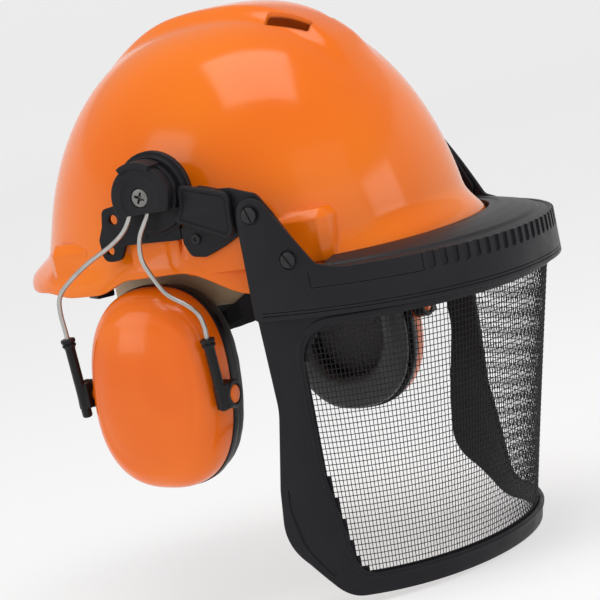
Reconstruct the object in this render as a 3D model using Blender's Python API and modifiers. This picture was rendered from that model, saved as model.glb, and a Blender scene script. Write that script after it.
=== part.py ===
"""Forestry safety helmet: shell and suspension, two ear muffs on wire arms, hinged brow guard with mesh visor.

Metres, +Z up. The face looks along -Y and the wearer's left is +X. The origin is the middle of the
headband ring, level with the shell's rim. Lengths below are in millimetres; MM turns them into metres.
"""

import math

import bmesh
import bpy
from mathutils import Matrix, Vector

MM = 0.001
GAP = 0.4  # between pieces that lie against each other

# Shell: half width, reach forward and back of the dome, height, wall.
SHELL_SIDE = 104.6
SHELL_FRONT = 121.0
SHELL_REAR = 128.5
SHELL_HEIGHT = 144.5
SHELL_WALL = 2.4
SLOT_LOW = 34.0  # accessory slots in the side pads
SLOT_HIGH = 41.0
RIDGE_HEIGHT = 6.0
VENT = ((10.5, -66), (19, -66), (25, -42), (17, -42))  # plan of the crown vent on one side

# Ear muff turret, on an axis along X through (TURRET_Y, TURRET_Z).
TURRET_Y = -1.3
TURRET_Z = 59.0
HUB_RADIUS = 18.0
HUB_FACE = 125.0
LEFT_MUFF_TURN = -9.0  # degrees, the left muff stands a little further forward

# Ear cup: centre, half sizes, lean of its long axis, and its layers along X.
CUP_Y = 24.5
CUP_Z = -50.0
CUP_HALF_WIDTH = 41.8
CUP_HALF_HEIGHT = 57.0
CUP_POWER = 2.5
CUP_LEAN = math.radians(6)
CUP_BASE = 97.0
CUP_DEPTH = 29.0
CUSHION_FACE = 80.0
TRUNNION_X = 105.0
TRUNNION_DROP = 2.0  # below the cup's centre

# Wire arms and the sleeves that slide on them.
WIRE_RADIUS = 1.35
SLEEVE_RADIUS = 2.9
SLEEVE_BORE = 1.75
SLEEVE_DIRECTION = Vector((0.11, 0.02, -0.994)).normalized()
FRONT_SLEEVE_TOP = Vector((-117.0, -20.5, -23.5))
REAR_SLEEVE_TOP = Vector((-117.0, 69.5, -13.8))

# Visor: pivot along X through (PIVOT_Y, PIVOT_Z), brow guard plan and heights.
PIVOT_Y = -36.0
PIVOT_Z = 47.0
BRACKET_SCREW = (-22.5, 31.0)
GUARD_SCREWS = ((-62.0, 40.0), (-79.0, 13.0))
GUARD_SIDE = 115.9
GUARD_REACH = 119.5
GUARD_REAR_Y = -51.5
GUARD_POWER = 2.15
GUARD_BOTTOM = -18.0
GUARD_HEIGHT = 25.0
GUARD_SLOPE = 0.05
GUARD_WALL = 2.4
CRESCENT_Y = -93.5  # where the guard's crescent ends on each side
ARM_WALL = 2.2
FRAME_TOP = -13.0
FRAME_BOTTOM = -175.0
FRAME_WALL = 2.6

ORANGE = (0.83, 0.155, 0.022)
BLACK = (0.018, 0.018, 0.020)
STEEL = (0.62, 0.62, 0.60)
KHAKI = (0.33, 0.26, 0.17)

PARTS = bpy.data.collections.new("forestry_helmet")


# ---- small tools ------------------------------------------------------------------------------


def clear_scene():
    for old in list(bpy.data.objects):
        bpy.data.objects.remove(old, do_unlink=True)
    bpy.context.scene.collection.children.link(PARTS)


def smoothstep(low, high, value):
    share = min(max((value - low) / (high - low), 0.0), 1.0)
    return share * share * (3 - 2 * share)


def signed_power(value, power):
    return math.copysign(abs(value) ** power, value)


def object_from(name, bm):
    """A new object of the part's collection from a mesh in millimetres."""
    bm.transform(Matrix.Scale(MM, 4))
    mesh = bpy.data.meshes.new(name)
    bm.to_mesh(mesh)
    bm.free()
    obj = bpy.data.objects.new(name, mesh)
    PARTS.objects.link(obj)
    return obj


def bake(obj):
    """Replaces the object's mesh by what its modifiers make of it."""
    graph = bpy.context.evaluated_depsgraph_get()
    mesh = bpy.data.meshes.new_from_object(obj.evaluated_get(graph))
    obj.modifiers.clear()
    obj.data = mesh
    return obj


def bevel(obj, width, segments=2, angle=40):
    modifier = obj.modifiers.new("bevel", "BEVEL")
    modifier.width = width * MM
    modifier.segments = segments
    modifier.limit_method = "ANGLE"
    modifier.angle_limit = math.radians(angle)
    return bake(obj)


def combine(obj, other, operation):
    """Boolean of two objects; the second one is used up."""
    modifier = obj.modifiers.new("combine", "BOOLEAN")
    modifier.operation = operation
    modifier.object = other
    bake(obj)
    bpy.data.objects.remove(other, do_unlink=True)
    return obj


def join(obj, *others):
    for other in others:
        combine(obj, other, "UNION")
    return obj


def cut(obj, *others):
    for other in others:
        combine(obj, other, "DIFFERENCE")
    return obj


def box(name, low, high, edge=0.0, turn=None):
    """Box between two corners, turned by a matrix about its own centre."""
    low, high = Vector(low), Vector(high)
    centre = (low + high) / 2
    bm = bmesh.new()
    bmesh.ops.create_cube(bm, size=1)
    bm.transform(Matrix.Diagonal((*(high - low), 1)))
    if turn:
        bm.transform(turn)
    bm.transform(Matrix.Translation(centre))
    obj = object_from(name, bm)
    return bevel(obj, edge, 1) if edge else obj


def rod(name, start, end, radius, sides=24, end_radius=None):
    """Cylinder or cone from one point to another."""
    start, end = Vector(start), Vector(end)
    along = end - start
    bm = bmesh.new()
    bmesh.ops.create_cone(
        bm,
        cap_ends=True,
        segments=sides,
        radius1=radius,
        radius2=radius if end_radius is None else end_radius,
        depth=along.length,
    )
    turn = along.to_track_quat("Z", "Y").to_matrix().to_4x4()
    bm.transform(Matrix.Translation((start + end) / 2) @ turn)
    return object_from(name, bm)


def rounded(corners, steps=3):
    """Polygon whose corners (a, b, radius) are replaced by arcs."""
    points = []
    count = len(corners)
    for index, (a, b, radius) in enumerate(corners):
        here = Vector((a, b))
        before = (Vector(corners[index - 1][:2]) - here)
        after = (Vector(corners[(index + 1) % count][:2]) - here)
        if radius == 0:
            points.append(here)
            continue
        half = before.angle(after) / 2
        back = min(radius / math.tan(half), 0.49 * before.length, 0.49 * after.length)
        start = here + before.normalized() * back
        end = here + after.normalized() * back
        for step in range(steps + 1):
            share = step / steps
            first = start.lerp(here, share)
            second = here.lerp(end, share)
            points.append(first.lerp(second, share))
    return points


def outline_mesh(outlines, thickness):
    """Flat piece from closed outlines in a local plane, holes included, centred on it; returns its bmesh."""
    curve = bpy.data.curves.new("outline", "CURVE")
    curve.dimensions = "2D"
    curve.fill_mode = "BOTH"
    curve.extrude = thickness / 2
    for outline in outlines:
        spline = curve.splines.new("POLY")
        spline.points.add(len(outline) - 1)
        for point, place in zip(spline.points, outline):
            point.co = (place[0], place[1], 0, 1)
        spline.use_cyclic_u = True
    carrier = bpy.data.objects.new("outline", curve)
    PARTS.objects.link(carrier)
    bpy.context.view_layer.update()
    graph = bpy.context.evaluated_depsgraph_get()
    mesh = bpy.data.meshes.new_from_object(carrier.evaluated_get(graph))
    bm = bmesh.new()
    bm.from_mesh(mesh)
    bpy.data.objects.remove(carrier, do_unlink=True)
    bmesh.ops.remove_doubles(bm, verts=bm.verts, dist=0.001)
    bmesh.ops.dissolve_limit(bm, angle_limit=0.001, verts=bm.verts, edges=bm.edges)
    bmesh.ops.recalc_face_normals(bm, faces=bm.faces)
    return bm


def side_plate(name, outlines, near_x, far_x):
    """Flat piece parallel to the YZ plane between two X values; outlines hold (y, z)."""
    bm = outline_mesh(outlines, abs(far_x - near_x))
    middle = (near_x + far_x) / 2
    for vert in bm.verts:
        a, b, c = vert.co
        vert.co = (middle + c, a, b)
    return object_from(name, bm)


def bent_plate(name, outlines, thickness, place, columns):
    """Flat piece cut across at the given columns and then bent, point by point, by place(u, h, depth)."""
    bm = outline_mesh(outlines, thickness)
    for column in columns:
        geometry = list(bm.verts) + list(bm.edges) + list(bm.faces)
        bmesh.ops.bisect_plane(bm, geom=geometry, dist=0.01, plane_co=(column, 0, 0), plane_no=(1, 0, 0))
    bmesh.ops.triangulate(bm, faces=bm.faces)
    for vert in bm.verts:
        vert.co = place(*vert.co)
    face_outwards(bm)
    return object_from(name, bm)


def face_outwards(bm):
    """Makes the faces of a closed mesh agree and point out."""
    bmesh.ops.recalc_face_normals(bm, faces=bm.faces)
    if bm.calc_volume(signed=True) < 0:
        bmesh.ops.reverse_faces(bm, faces=bm.faces)


def sheet(name, place, across, along, wall, closed=False):
    """Grid over (u, v) from 0 to 1 shaped by place(u, v) and given a wall on its inner side."""
    bm = bmesh.new()
    bmesh.ops.create_grid(bm, x_segments=across, y_segments=along, size=0.5)
    for vert in bm.verts:
        vert.co = place(vert.co.x + 0.5, vert.co.y + 0.5)
    bmesh.ops.remove_doubles(bm, verts=bm.verts, dist=0.01)
    bmesh.ops.recalc_face_normals(bm, faces=bm.faces)
    obj = object_from(name, bm)
    modifier = obj.modifiers.new("wall", "SOLIDIFY")
    modifier.thickness = abs(wall) * MM
    modifier.offset = math.copysign(1.0, wall)
    modifier.use_even_offset = True
    return bake(obj)


def smooth_path(points, spacing):
    """Points along a Catmull-Rom curve through the given ones."""
    points = [Vector(point) for point in points]
    ends = [2 * points[0] - points[1]] + points + [2 * points[-1] - points[-2]]
    path = []
    for a, b, c, d in zip(ends, ends[1:], ends[2:], ends[3:]):
        steps = max(1, round((c - b).length / spacing))
        for step in range(steps):
            t = step / steps
            path.append(
                0.5 * ((2 * b) + (c - a) * t + (2 * a - 5 * b + 4 * c - d) * t**2 + (3 * b - a - 3 * c + d) * t**3)
            )
    return path + [points[-1]]


def wire(name, points, radius, spacing=6.0):
    """Round wire along a smooth path through the points."""
    curve = bpy.data.curves.new(name, "CURVE")
    curve.dimensions = "3D"
    curve.bevel_depth = radius
    curve.bevel_resolution = 1
    curve.use_fill_caps = True
    path = smooth_path(points, spacing)
    spline = curve.splines.new("POLY")
    spline.points.add(len(path) - 1)
    for point, place in zip(spline.points, path):
        point.co = (*place, 1)
    carrier = bpy.data.objects.new("wire", curve)
    PARTS.objects.link(carrier)
    bpy.context.view_layer.update()
    graph = bpy.context.evaluated_depsgraph_get()
    mesh = bpy.data.meshes.new_from_object(carrier.evaluated_get(graph))
    bm = bmesh.new()
    bm.from_mesh(mesh)
    bpy.data.objects.remove(carrier, do_unlink=True)
    bmesh.ops.remove_doubles(bm, verts=bm.verts, dist=0.001)
    bmesh.ops.recalc_face_normals(bm, faces=bm.faces)
    return object_from(name, bm)


def finish(obj, colour, roughness, metallic=0.0, origin=None, sharp=35):
    """Material, smooth shading and, on a moving piece, an origin on its joint's axis."""
    material = bpy.data.materials.new(obj.name)
    material.use_nodes = True
    shader = material.node_tree.nodes["Principled BSDF"]
    shader.inputs["Base Color"].default_value = (*colour, 1)
    shader.inputs["Roughness"].default_value = roughness
    shader.inputs["Metallic"].default_value = metallic
    obj.data.materials.clear()
    obj.data.materials.append(material)
    obj.data.shade_smooth()
    obj.data.set_sharp_from_angle(angle=math.radians(sharp))
    if origin:
        place = Vector(origin) * MM
        obj.data.transform(Matrix.Translation(-place))
        obj.location = place
    return obj


def left_copy(obj, turn=0.0):
    """Mirror image of a right-hand piece across X = 0, turned about the turret's axis by so many degrees."""
    name = obj.name.replace("_right", "_left")
    shader = obj.data.materials[0].node_tree.nodes["Principled BSDF"]
    mesh = obj.data.copy()
    centre = Matrix.Translation((0, TURRET_Y * MM, TURRET_Z * MM))
    about = centre @ Matrix.Rotation(math.radians(turn), 4, "X") @ centre.inverted()
    matrix = about @ Matrix.Scale(-1, 4, (1, 0, 0)) @ Matrix.Translation(obj.location)
    mesh.transform(matrix)
    mesh.flip_normals()
    copy = bpy.data.objects.new(name, mesh)
    PARTS.objects.link(copy)
    mirrored = about @ Matrix.Scale(-1, 4, (1, 0, 0)) @ obj.location / MM
    return finish(
        copy,
        shader.inputs["Base Color"].default_value[:3],
        shader.inputs["Roughness"].default_value,
        shader.inputs["Metallic"].default_value,
        mirrored if obj.location.length else None,
    )


# ---- shell and suspension ---------------------------------------------------------------------


def rim_height(angle):
    """Height of the shell's lower edge round the plan: low at the temples, up over the ears and the nape."""
    y = math.sin(angle)
    rear = 17.0 * smoothstep(-0.34, -0.02, y) - 6.5 * smoothstep(0.18, 0.36, y)
    rear += 3.5 * smoothstep(0.5, 0.68, y) + 3.0 * smoothstep(0.75, 0.95, y)
    return -4.0 + rear + 9.0 * smoothstep(0.75, 1.0, -y)


def shell_point(u, v):
    """Outer surface of the shell: u once round from the left side by the back, v from the rim to the crown."""
    angle = 2 * math.pi * u
    rise = math.sin(v * math.pi / 2)
    size = max(1 - rise**1.85, 0.0) ** (1 / 2.45)
    across = signed_power(math.cos(angle), 2 / 2.25)
    along = signed_power(math.sin(angle), 2 / 2.25)
    reach = SHELL_REAR if along > 0 else SHELL_FRONT
    x = SHELL_SIDE * across * size
    y = reach * along * size
    z = SHELL_HEIGHT * rise
    back, front = smoothstep(0.2, 0.95, along), smoothstep(0.2, 0.95, -along)
    flare = (2.5 + 9.5 * back + 6.5 * front) * (1 - smoothstep(2, 26, z)) ** 1.5
    x += flare * math.cos(angle)
    y += flare * math.sin(angle)
    z += rim_height(angle) * (1 - smoothstep(0, 45, z))
    ridge = 1 - smoothstep(13, 25, abs(x))
    ridge *= smoothstep(-92, -76, y) * (1 - smoothstep(25, 95, y))
    z += RIDGE_HEIGHT * ridge * smoothstep(0.6, 0.8, rise)
    return (x, y, z)


def inside_shell(angle, z, margin):
    """Point of the plan at this height and bearing, a margin inside the dome's outer surface."""
    size = max(1 - (z / SHELL_HEIGHT) ** 1.85, 0.0) ** (1 / 2.45)
    across = signed_power(math.cos(angle), 2 / 2.25)
    along = signed_power(math.sin(angle), 2 / 2.25)
    reach = SHELL_REAR if along > 0 else SHELL_FRONT
    point = Vector((SHELL_SIDE * across * size, reach * along * size, z))
    return point - margin * Vector((math.cos(angle), math.sin(angle), 0))


def block(name, side, corners, low, high, chamfer):
    """Block on the shell's side from its plan corners (x, y, top shift in x, top shift in y)."""
    bm = bmesh.new()
    for x, y, shift_x, shift_y in corners:
        bm.verts.new((side * x, y, low))
        bm.verts.new((side * x, y, high - chamfer))
        bm.verts.new((side * (x + shift_x), y + shift_y, high))
    bmesh.ops.convex_hull(bm, input=bm.verts)
    bmesh.ops.dissolve_limit(bm, angle_limit=0.01, verts=bm.verts, edges=bm.edges)
    bmesh.ops.recalc_face_normals(bm, faces=bm.faces)
    return object_from(name, bm)


def shell_blocks(side):
    """The two slot pads and the front and rear clip blocks of one side."""
    rear_pad = [(105.8, -8, -3, 0), (105.8, 24, -3, -3), (95.8, 24, 0, -3), (97.0, -8, 0, 0)]
    front_pad = [(105.8, -49, -3, 3), (105.8, -10, -3, 0), (97.0, -10, 0, 0), (90.0, -49, 0, 3)]
    front_clip = [
        (93.5, -56, -4.5, 0),
        (88.5, -85.5, -4.5, 0),
        (84.0, -90, -3, 3),
        (68.0, -90, 0, 3),
        (88.0, -56, 0, 0),
    ]
    rear_clip = [(93.5, 61, -4.5, 0), (89.5, 86.5, -4.5, 0), (85.5, 91, -3, -3), (70.0, 91, 0, -3), (88.0, 61, 0, 0)]
    return [
        block("slot_pad_rear", side, rear_pad, 14.0, 45.0, 3.0),
        block("slot_pad_front", side, front_pad, 10.5, 45.0, 3.0),
        block("front_clip_block", side, front_clip, 7.0, 35.0, 5.0),
        block("rear_clip_block", side, rear_clip, 14.5, 36.0, 5.0),
    ]


def gathered(name, solids):
    """One mesh that holds several solids which don't touch."""
    bm = bmesh.new()
    for solid in solids:
        bm.from_mesh(solid.data)
        bpy.data.objects.remove(solid, do_unlink=True)
    bmesh.ops.scale(bm, vec=(1 / MM, 1 / MM, 1 / MM), verts=bm.verts)
    return object_from(name, bm)


def dome_core(inset, columns, rows):
    """Closed fill of the dome, an inset inside its outer surface, which trims the blocks to the wall."""
    bm = bmesh.new()
    rings = []
    for row in range(-1, rows):
        v = max(row, 0) / rows
        rise = math.sin(v * math.pi / 2)
        rings.append([])
        for column in range(columns):
            u = column / columns
            angle = 2 * math.pi * u
            inward = Vector(((1 - rise) * math.cos(angle), (1 - rise) * math.sin(angle), rise)) * inset
            point = Vector(shell_point(u, v)) - inward
            rings[-1].append(bm.verts.new(point if row >= 0 else (point.x, point.y, -40.0)))
    for low, high in zip(rings, rings[1:]):
        for i in range(columns):
            j = (i + 1) % columns
            bm.faces.new((low[i], low[j], high[j], high[i]))
    top = bm.verts.new(Vector(shell_point(0, 1)) - Vector((0, 0, inset)))
    for i in range(columns):
        bm.faces.new((rings[-1][i], rings[-1][(i + 1) % columns], top))
    bm.faces.new(rings[0])
    bmesh.ops.recalc_face_normals(bm, faces=bm.faces)
    return object_from("core", bm)


def make_shell():
    shell = sheet("shell", shell_point, 43, 12, -SHELL_WALL)
    blocks, openings = [], []
    for side in (-1, 1):
        blocks += shell_blocks(side)
        vent = outline_mesh([[(side * x, y) for x, y in VENT]], 40)
        vent.transform(Matrix.Translation((0, 0, 137)))
        bmesh.ops.recalc_face_normals(vent, faces=vent.faces)
        inner, outer = sorted((side * 90, side * 108))
        openings += [
            object_from("vent", vent),
            box("muff_slot", (inner, -6.5, SLOT_LOW - 0.5), (outer, 14.5, SLOT_HIGH + 0.5)),
            box("visor_slot", (inner, -44.5, SLOT_LOW - 0.5), (outer, -29.5, SLOT_HIGH + 0.5)),
        ]
    join(shell, cut(gathered("blocks", blocks), dome_core(1.0, 43, 12)))
    cut(shell, gathered("openings", openings))
    return finish(shell, ORANGE, 0.18, sharp=40)


def band(name, low, high, reach, start, end, steps, wall):
    """Upright strip round the head between two bearings; low, high and reach are functions of the bearing."""

    def place(u, v):
        angle = math.radians(start + (end - start) * u)
        half_width, half_length = reach(angle)
        z = low(angle) + (high(angle) - low(angle)) * v
        return (half_width * math.cos(angle), half_length * math.sin(angle), z)

    return sheet(name, place, steps, 1, wall)


def headband_low(angle):
    return -12.0 - 20.0 * smoothstep(0.3, 1.0, -math.sin(angle))


def make_suspension():
    headband = band(
        "headband",
        headband_low,
        lambda angle: headband_low(angle) + 28,
        lambda angle: (74.5, 97.0),
        0,
        360,
        36,
        -1.8,
    )
    finish(headband, KHAKI, 0.6)
    sweatband = band(
        "sweatband",
        lambda angle: headband_low(angle) - 2,
        lambda angle: headband_low(angle) + 26,
        lambda angle: (72.2, 94.6),
        205,
        335,
        14,
        -3.0,
    )
    finish(sweatband, (0.05, 0.035, 0.025), 0.8)
    nape = band(
        "nape_band",
        lambda angle: -18.0 - 28.0 * smoothstep(-0.45, 0.8, math.sin(angle)),
        lambda angle: 4.0 - 20.0 * smoothstep(-0.5, -0.02, math.sin(angle)),
        lambda angle: (77.2, 100.4),
        -28,
        208,
        24,
        -2.2,
    )
    finish(nape, BLACK, 0.75)


def make_nape_adjuster():
    """Ratchet that shortens the nape band: a housing behind the band, and the knob on its axle."""
    housing = box("ratchet_housing", (-26, 100.9, -44), (26, 108.5, -20), 2.5)
    cut(housing, rod("bore", (0, 95, -32), (0, 115, -32), 3.6))
    finish(housing, BLACK, 0.5)
    knob = rod("knob", (0, 109.0, -32), (0, 119.0, -32), 13.0, 28)
    knob.name = "ratchet_knob"
    bevel(knob, 1.2, 1)
    for tooth in range(10):
        turn = 2 * math.pi * tooth / 10
        place = Vector((14.4 * math.cos(turn), 0, -32 + 14.4 * math.sin(turn)))
        cut(knob, rod("grip", place + Vector((0, 107, 0)), place + Vector((0, 121, 0)), 2.6, 6))
    join(knob, rod("axle", (0, 101.4, -32), (0, 112, -32), 3.2))
    finish(knob, BLACK, 0.45, origin=(0, 109, -32))


def make_crown_straps():
    """Three webbing straps that cross under the crown, and the six keys that hold their ends in the shell."""
    bearings = (90.0, 30.0, 150.0)
    for index, bearing in enumerate(bearings):
        direction = Vector((math.cos(math.radians(bearing)), math.sin(math.radians(bearing)), 0))
        sideways = Vector((-direction.y, direction.x, 0))
        top = 108.0 + 2.6 * index
        ends = [inside_shell(math.atan2(s * direction.y, s * direction.x), 22, 15.5) for s in (-1, 1)]
        reach = [end.to_2d().length for end in ends]

        def place(u, v, direction=direction, sideways=sideways, top=top, reach=reach):
            turn = math.pi * u
            half = reach[0] if u < 0.5 else reach[1]
            spot = -direction * half * signed_power(math.cos(turn), 0.9)
            height = 22 + (top - 22) * math.sin(turn) ** 0.8
            return spot + sideways * (v - 0.5) * 19 + Vector((0, 0, height))

        strap = sheet(f"crown_strap_{index + 1}", place, 16, 1, 1.3)
        finish(strap, KHAKI, 0.85)
    for index in range(6):
        angle = math.radians(30 + 60 * index)
        base = inside_shell(angle, 12, 10.5)
        bearing = math.atan2(base.y, base.x)
        key = box("key", (-5.4, -8, -9), (5.4, 8, 8.6), 1.2, Matrix.Rotation(bearing, 4, "Z"))
        key.data.transform(Matrix.Translation(base * MM))
        key.name = f"suspension_key_{index + 1}"
        finish(key, BLACK, 0.55)


# ---- adapters on the shell's side slots -------------------------------------------------------


def make_muff_base():
    """Plate on the slot pad with two accessory eyes, and the round seat that the turret turns on."""
    plate_outline = rounded(
        [
            (-13, 31.5, 2),
            (24, 33, 2),
            (28.5, 25, 5),
            (39.5, 25, 6),
            (40, 38, 3),
            (36.5, 45, 2),
            (34.5, 54.5, 4),
            (23, 56, 3),
            (18, 66, 3),
            (-13, 66, 3),
        ]
    )
    holes = [ring(28.5, 48.0, 2.9, 10), ring(34.2, 31.3, 2.7, 10)]
    base = side_plate("muff_base_right", [plate_outline, *holes], -106.4, -109.4)
    join(
        base,
        rod("seat", (-106.4, TURRET_Y, TURRET_Z), (-110.2, TURRET_Y, TURRET_Z), 23.4, 28),
        rod("seat_step", (-108.0, TURRET_Y, TURRET_Z), (-112.8, TURRET_Y, TURRET_Z), 21.2, 28),
        box("tongue", (-108.0, -6, SLOT_LOW), (-98.5, 14, SLOT_HIGH)),
    )
    cut(base, rod("bore", (-95, TURRET_Y, TURRET_Z), (-115, TURRET_Y, TURRET_Z), 3.0, 14))
    return finish(base, BLACK, 0.42)


def ring(y, z, radius, steps):
    return [
        (y + radius * math.cos(2 * math.pi * i / steps), z + radius * math.sin(2 * math.pi * i / steps))
        for i in range(steps)
    ]


def make_visor_bracket():
    """Bracket plate in the front slot, with the pin that the visor arm swings on, and its screw."""
    outline = rounded(
        [
            (-27.5, 60, 3),
            (-51, 53, 5),
            (-51, 30, 3),
            (-45, 27.5, 2),
            (-38, 24.3, 3),
            (-26, 20.3, 4),
            (-17, 21.5, 5),
            (-13.7, 29, 3),
            (-13.4, 37.5, 2),
            (-19.5, 42, 2),
            (-26, 48, 3),
        ]
    )
    y, z = BRACKET_SCREW
    bracket = side_plate("visor_bracket_right", [outline], -106.4, -109.6)
    join(
        bracket,
        rod("pin", (-109.0, PIVOT_Y, PIVOT_Z), (-112.9, PIVOT_Y, PIVOT_Z), 3.4),
        box("tongue", (-108.0, -44, SLOT_LOW), (-97.0, -30, SLOT_HIGH)),
    )
    cut(bracket, rod("bore", (-104, y, z), (-112, y, z), 1.7, 12))
    finish(bracket, BLACK, 0.42)
    screw = rod("bracket_screw_right", (-106.5, y, z), (-110.6, y, z), 1.3, 12)
    join(screw, rod("head", (-109.9, y, z), (-111.2, y, z), 2.8, 16, 2.3))
    return bracket, finish(screw, BLACK, 0.35)


def make_visor_cover():
    """Lid over the visor pivot: a rounded trapezoid with a raised rim."""
    outer = [
        (-20.6, 62.5, 4),
        (-52, 54, 6),
        (-50.8, 41, 3),
        (-50.7, 33, 3),
        (-46.5, 29, 3),
        (-14.7, 42.8, 3),
        (-20.3, 50, 3),
    ]
    inner = [
        (-23.0, 59.8, 3),
        (-49.8, 52.2, 4),
        (-48.4, 40, 3),
        (-48.2, 34, 2),
        (-46, 31.8, 2),
        (-19.2, 43.4, 2),
        (-22.8, 50, 2),
    ]
    cover = side_plate("visor_cover_right", [rounded(outer)], -113.3, -117.6)
    bevel(cover, 1.0, 2)
    cut(cover, side_plate("recess", [rounded(inner)], -116.9, -120.0))
    return finish(cover, BLACK, 0.3)


# ---- ear muffs --------------------------------------------------------------------------------


def make_hub():
    """Turret head: D-shaped, flat underneath, with a hood over its top and a notch for the wire ends."""
    outline = []
    for step in range(25):
        angle = math.radians(-30 + 240 * step / 24)
        outline.append((TURRET_Y + HUB_RADIUS * math.cos(angle), TURRET_Z + HUB_RADIUS * math.sin(angle)))
    hub = side_plate("hub_right", [outline], -113.1, -HUB_FACE)
    bevel(hub, 0.8, 1, 50)
    lip = []
    for step in range(9):
        angle = math.radians(52 + 106 * step / 8)
        lip.append((TURRET_Y + 20.8 * math.cos(angle), TURRET_Z + 20.8 * math.sin(angle)))
    for step in range(9):
        angle = math.radians(158 - 106 * step / 8)
        lip.append((TURRET_Y + 17.0 * math.cos(angle), TURRET_Z + 17.0 * math.sin(angle)))
    join(hub, side_plate("hood", [lip], -116.0, -128.0))
    cut(
        hub,
        box("notch", (-122.5, -6.5, 44), (-115.5, 14.5, 57.0)),
        rod("bore", (-110, TURRET_Y, TURRET_Z), (-130, TURRET_Y, TURRET_Z), 2.9, 14),
        rod("recess", (-121.5, TURRET_Y, TURRET_Z), (-130, TURRET_Y, TURRET_Z), 6.4, 20),
    )
    return finish(hub, BLACK, 0.4, origin=(-113.1, TURRET_Y, TURRET_Z))


def make_hub_screw():
    screw = rod("hub_screw_right", (-107.5, TURRET_Y, TURRET_Z), (-122.5, TURRET_Y, TURRET_Z), 2.5, 12)
    join(screw, rod("head", (-121.9, TURRET_Y, TURRET_Z), (-124.6, TURRET_Y, TURRET_Z), 5.4, 18, 4.4))
    for angle in (0, 90):
        turn = Matrix.Rotation(math.radians(45 + angle), 4, "X")
        cut(
            screw,
            box(
                "cross",
                (-126, TURRET_Y - 3.0, TURRET_Z - 0.7),
                (-123.2, TURRET_Y + 3.0, TURRET_Z + 0.7),
                turn=turn,
            ),
        )
    return finish(screw, STEEL, 0.3, 1.0, origin=(-113.1, TURRET_Y, TURRET_Z))


def make_wires():
    rear_end = REAR_SLEEVE_TOP + SLEEVE_DIRECTION * 40
    front_end = FRONT_SLEEVE_TOP + SLEEVE_DIRECTION * 34
    rear = wire(
        "wire_rear_right",
        [
            (-119, 9.8, 54.5),
            (-119, 10.6, 50),
            (-119.5, 16.2, 42),
            (-120, 26.5, 35),
            (-120, 43, 27.5),
            (-119.5, 57, 19.5),
            (-118.8, 66.5, 12),
            (-118.2, 69.6, 3),
            REAR_SLEEVE_TOP,
            rear_end,
        ],
        WIRE_RADIUS,
    )
    front = wire(
        "wire_front_right",
        [
            (-119, -1.2, 54.5),
            (-119, -0.6, 49),
            (-119.5, 6.5, 38),
            (-120, 8.4, 28),
            (-120, 6.5, 20),
            (-119.6, -2.2, 5),
            (-118.8, -12.5, -2.5),
            (-118.2, -18.6, -8.5),
            (-117.4, -20.6, -16),
            FRONT_SLEEVE_TOP,
            front_end,
        ],
        WIRE_RADIUS,
    )
    hinge = (-119, 4, 50)
    finish(rear, STEEL, 0.28, 1.0, origin=hinge)
    finish(front, STEEL, 0.28, 1.0, origin=hinge)
    return rear, front


def tilt_axis_point(y):
    """Point of the trunnion axis at this Y."""
    centre = Vector((-TRUNNION_X, CUP_Y, CUP_Z - TRUNNION_DROP))
    return centre + Vector((0, y - CUP_Y, (y - CUP_Y) * math.tan(CUP_LEAN)))


def make_sleeve(name, top, length, lug_near, lug_far):
    """Plastic sleeve on a wire leg, with a collar on top and the eye that holds the cup's trunnion."""
    bottom = top + SLEEVE_DIRECTION * length
    pin = tilt_axis_point((lug_near + lug_far) / 2)
    share = (pin.z - top.z) / (bottom.z - top.z)
    beside = top.lerp(bottom, share)
    middle = (lug_near + lug_far) / 2
    half = abs(lug_far - lug_near) / 2
    sleeve = rod(name, top, bottom, SLEEVE_RADIUS, 14)
    eye = rod("eye", tilt_axis_point(middle - half), tilt_axis_point(middle + half), 8.0, 18)
    low = (beside.x - 1.5, middle - half, pin.z - 7.0)
    high = (pin.x - 2.0, middle + half, pin.z + 7.0)
    join(
        sleeve,
        rod("collar", top - SLEEVE_DIRECTION * 0.5, top + SLEEVE_DIRECTION * 4.0, 4.2, 14),
        box("web", low, high),
        eye,
    )
    cut(
        sleeve,
        rod("bore", top - SLEEVE_DIRECTION * 3, bottom - SLEEVE_DIRECTION * 2.5, SLEEVE_BORE, 10),
        rod("eye_bore", tilt_axis_point(middle - 12), tilt_axis_point(middle + 12), 5.7, 18),
    )
    return finish(sleeve, BLACK, 0.35, origin=tuple(top))


def cup_spot(p, q, x):
    """Point of the cup: p towards the back and q up, in the cup's own leaning axes."""
    y = CUP_Y + p * math.cos(CUP_LEAN) - q * math.sin(CUP_LEAN)
    z = CUP_Z + p * math.sin(CUP_LEAN) + q * math.cos(CUP_LEAN)
    return Vector((x, y, z))


def cup_outline(scale, grow=0.0, steps=26):
    points = []
    for step in range(steps):
        angle = 2 * math.pi * step / steps
        p = (CUP_HALF_WIDTH * scale + grow) * signed_power(math.cos(angle), 2 / CUP_POWER)
        q = (CUP_HALF_HEIGHT * scale + grow) * signed_power(math.sin(angle), 2 / CUP_POWER)
        spot = cup_spot(p, q, 0)
        points.append((spot.y, spot.z))
    return points


def make_cup_shell():
    def place(u, v):
        angle = 2 * math.pi * u
        depth = math.sin(v * math.pi / 2)
        scale = max(1 - depth**2.8, 0.0) ** (1 / 2.4)
        p = CUP_HALF_WIDTH * scale * signed_power(math.cos(angle), 2 / CUP_POWER)
        q = CUP_HALF_HEIGHT * scale * signed_power(math.sin(angle), 2 / CUP_POWER)
        return cup_spot(p, q, -CUP_BASE - CUP_DEPTH * depth)

    cup = sheet("cup_shell_right", place, 26, 7, -2.2)
    for y, inward in ((-24.0, 6.0), (73.2, -6.0)):
        join(cup, rod("trunnion", tilt_axis_point(y), tilt_axis_point(y + inward * 1.7), 5.2, 18))
    cut(cup, cup_hollow())
    return finish(cup, ORANGE, 0.2, origin=tuple(tilt_axis_point(CUP_Y)))


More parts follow.
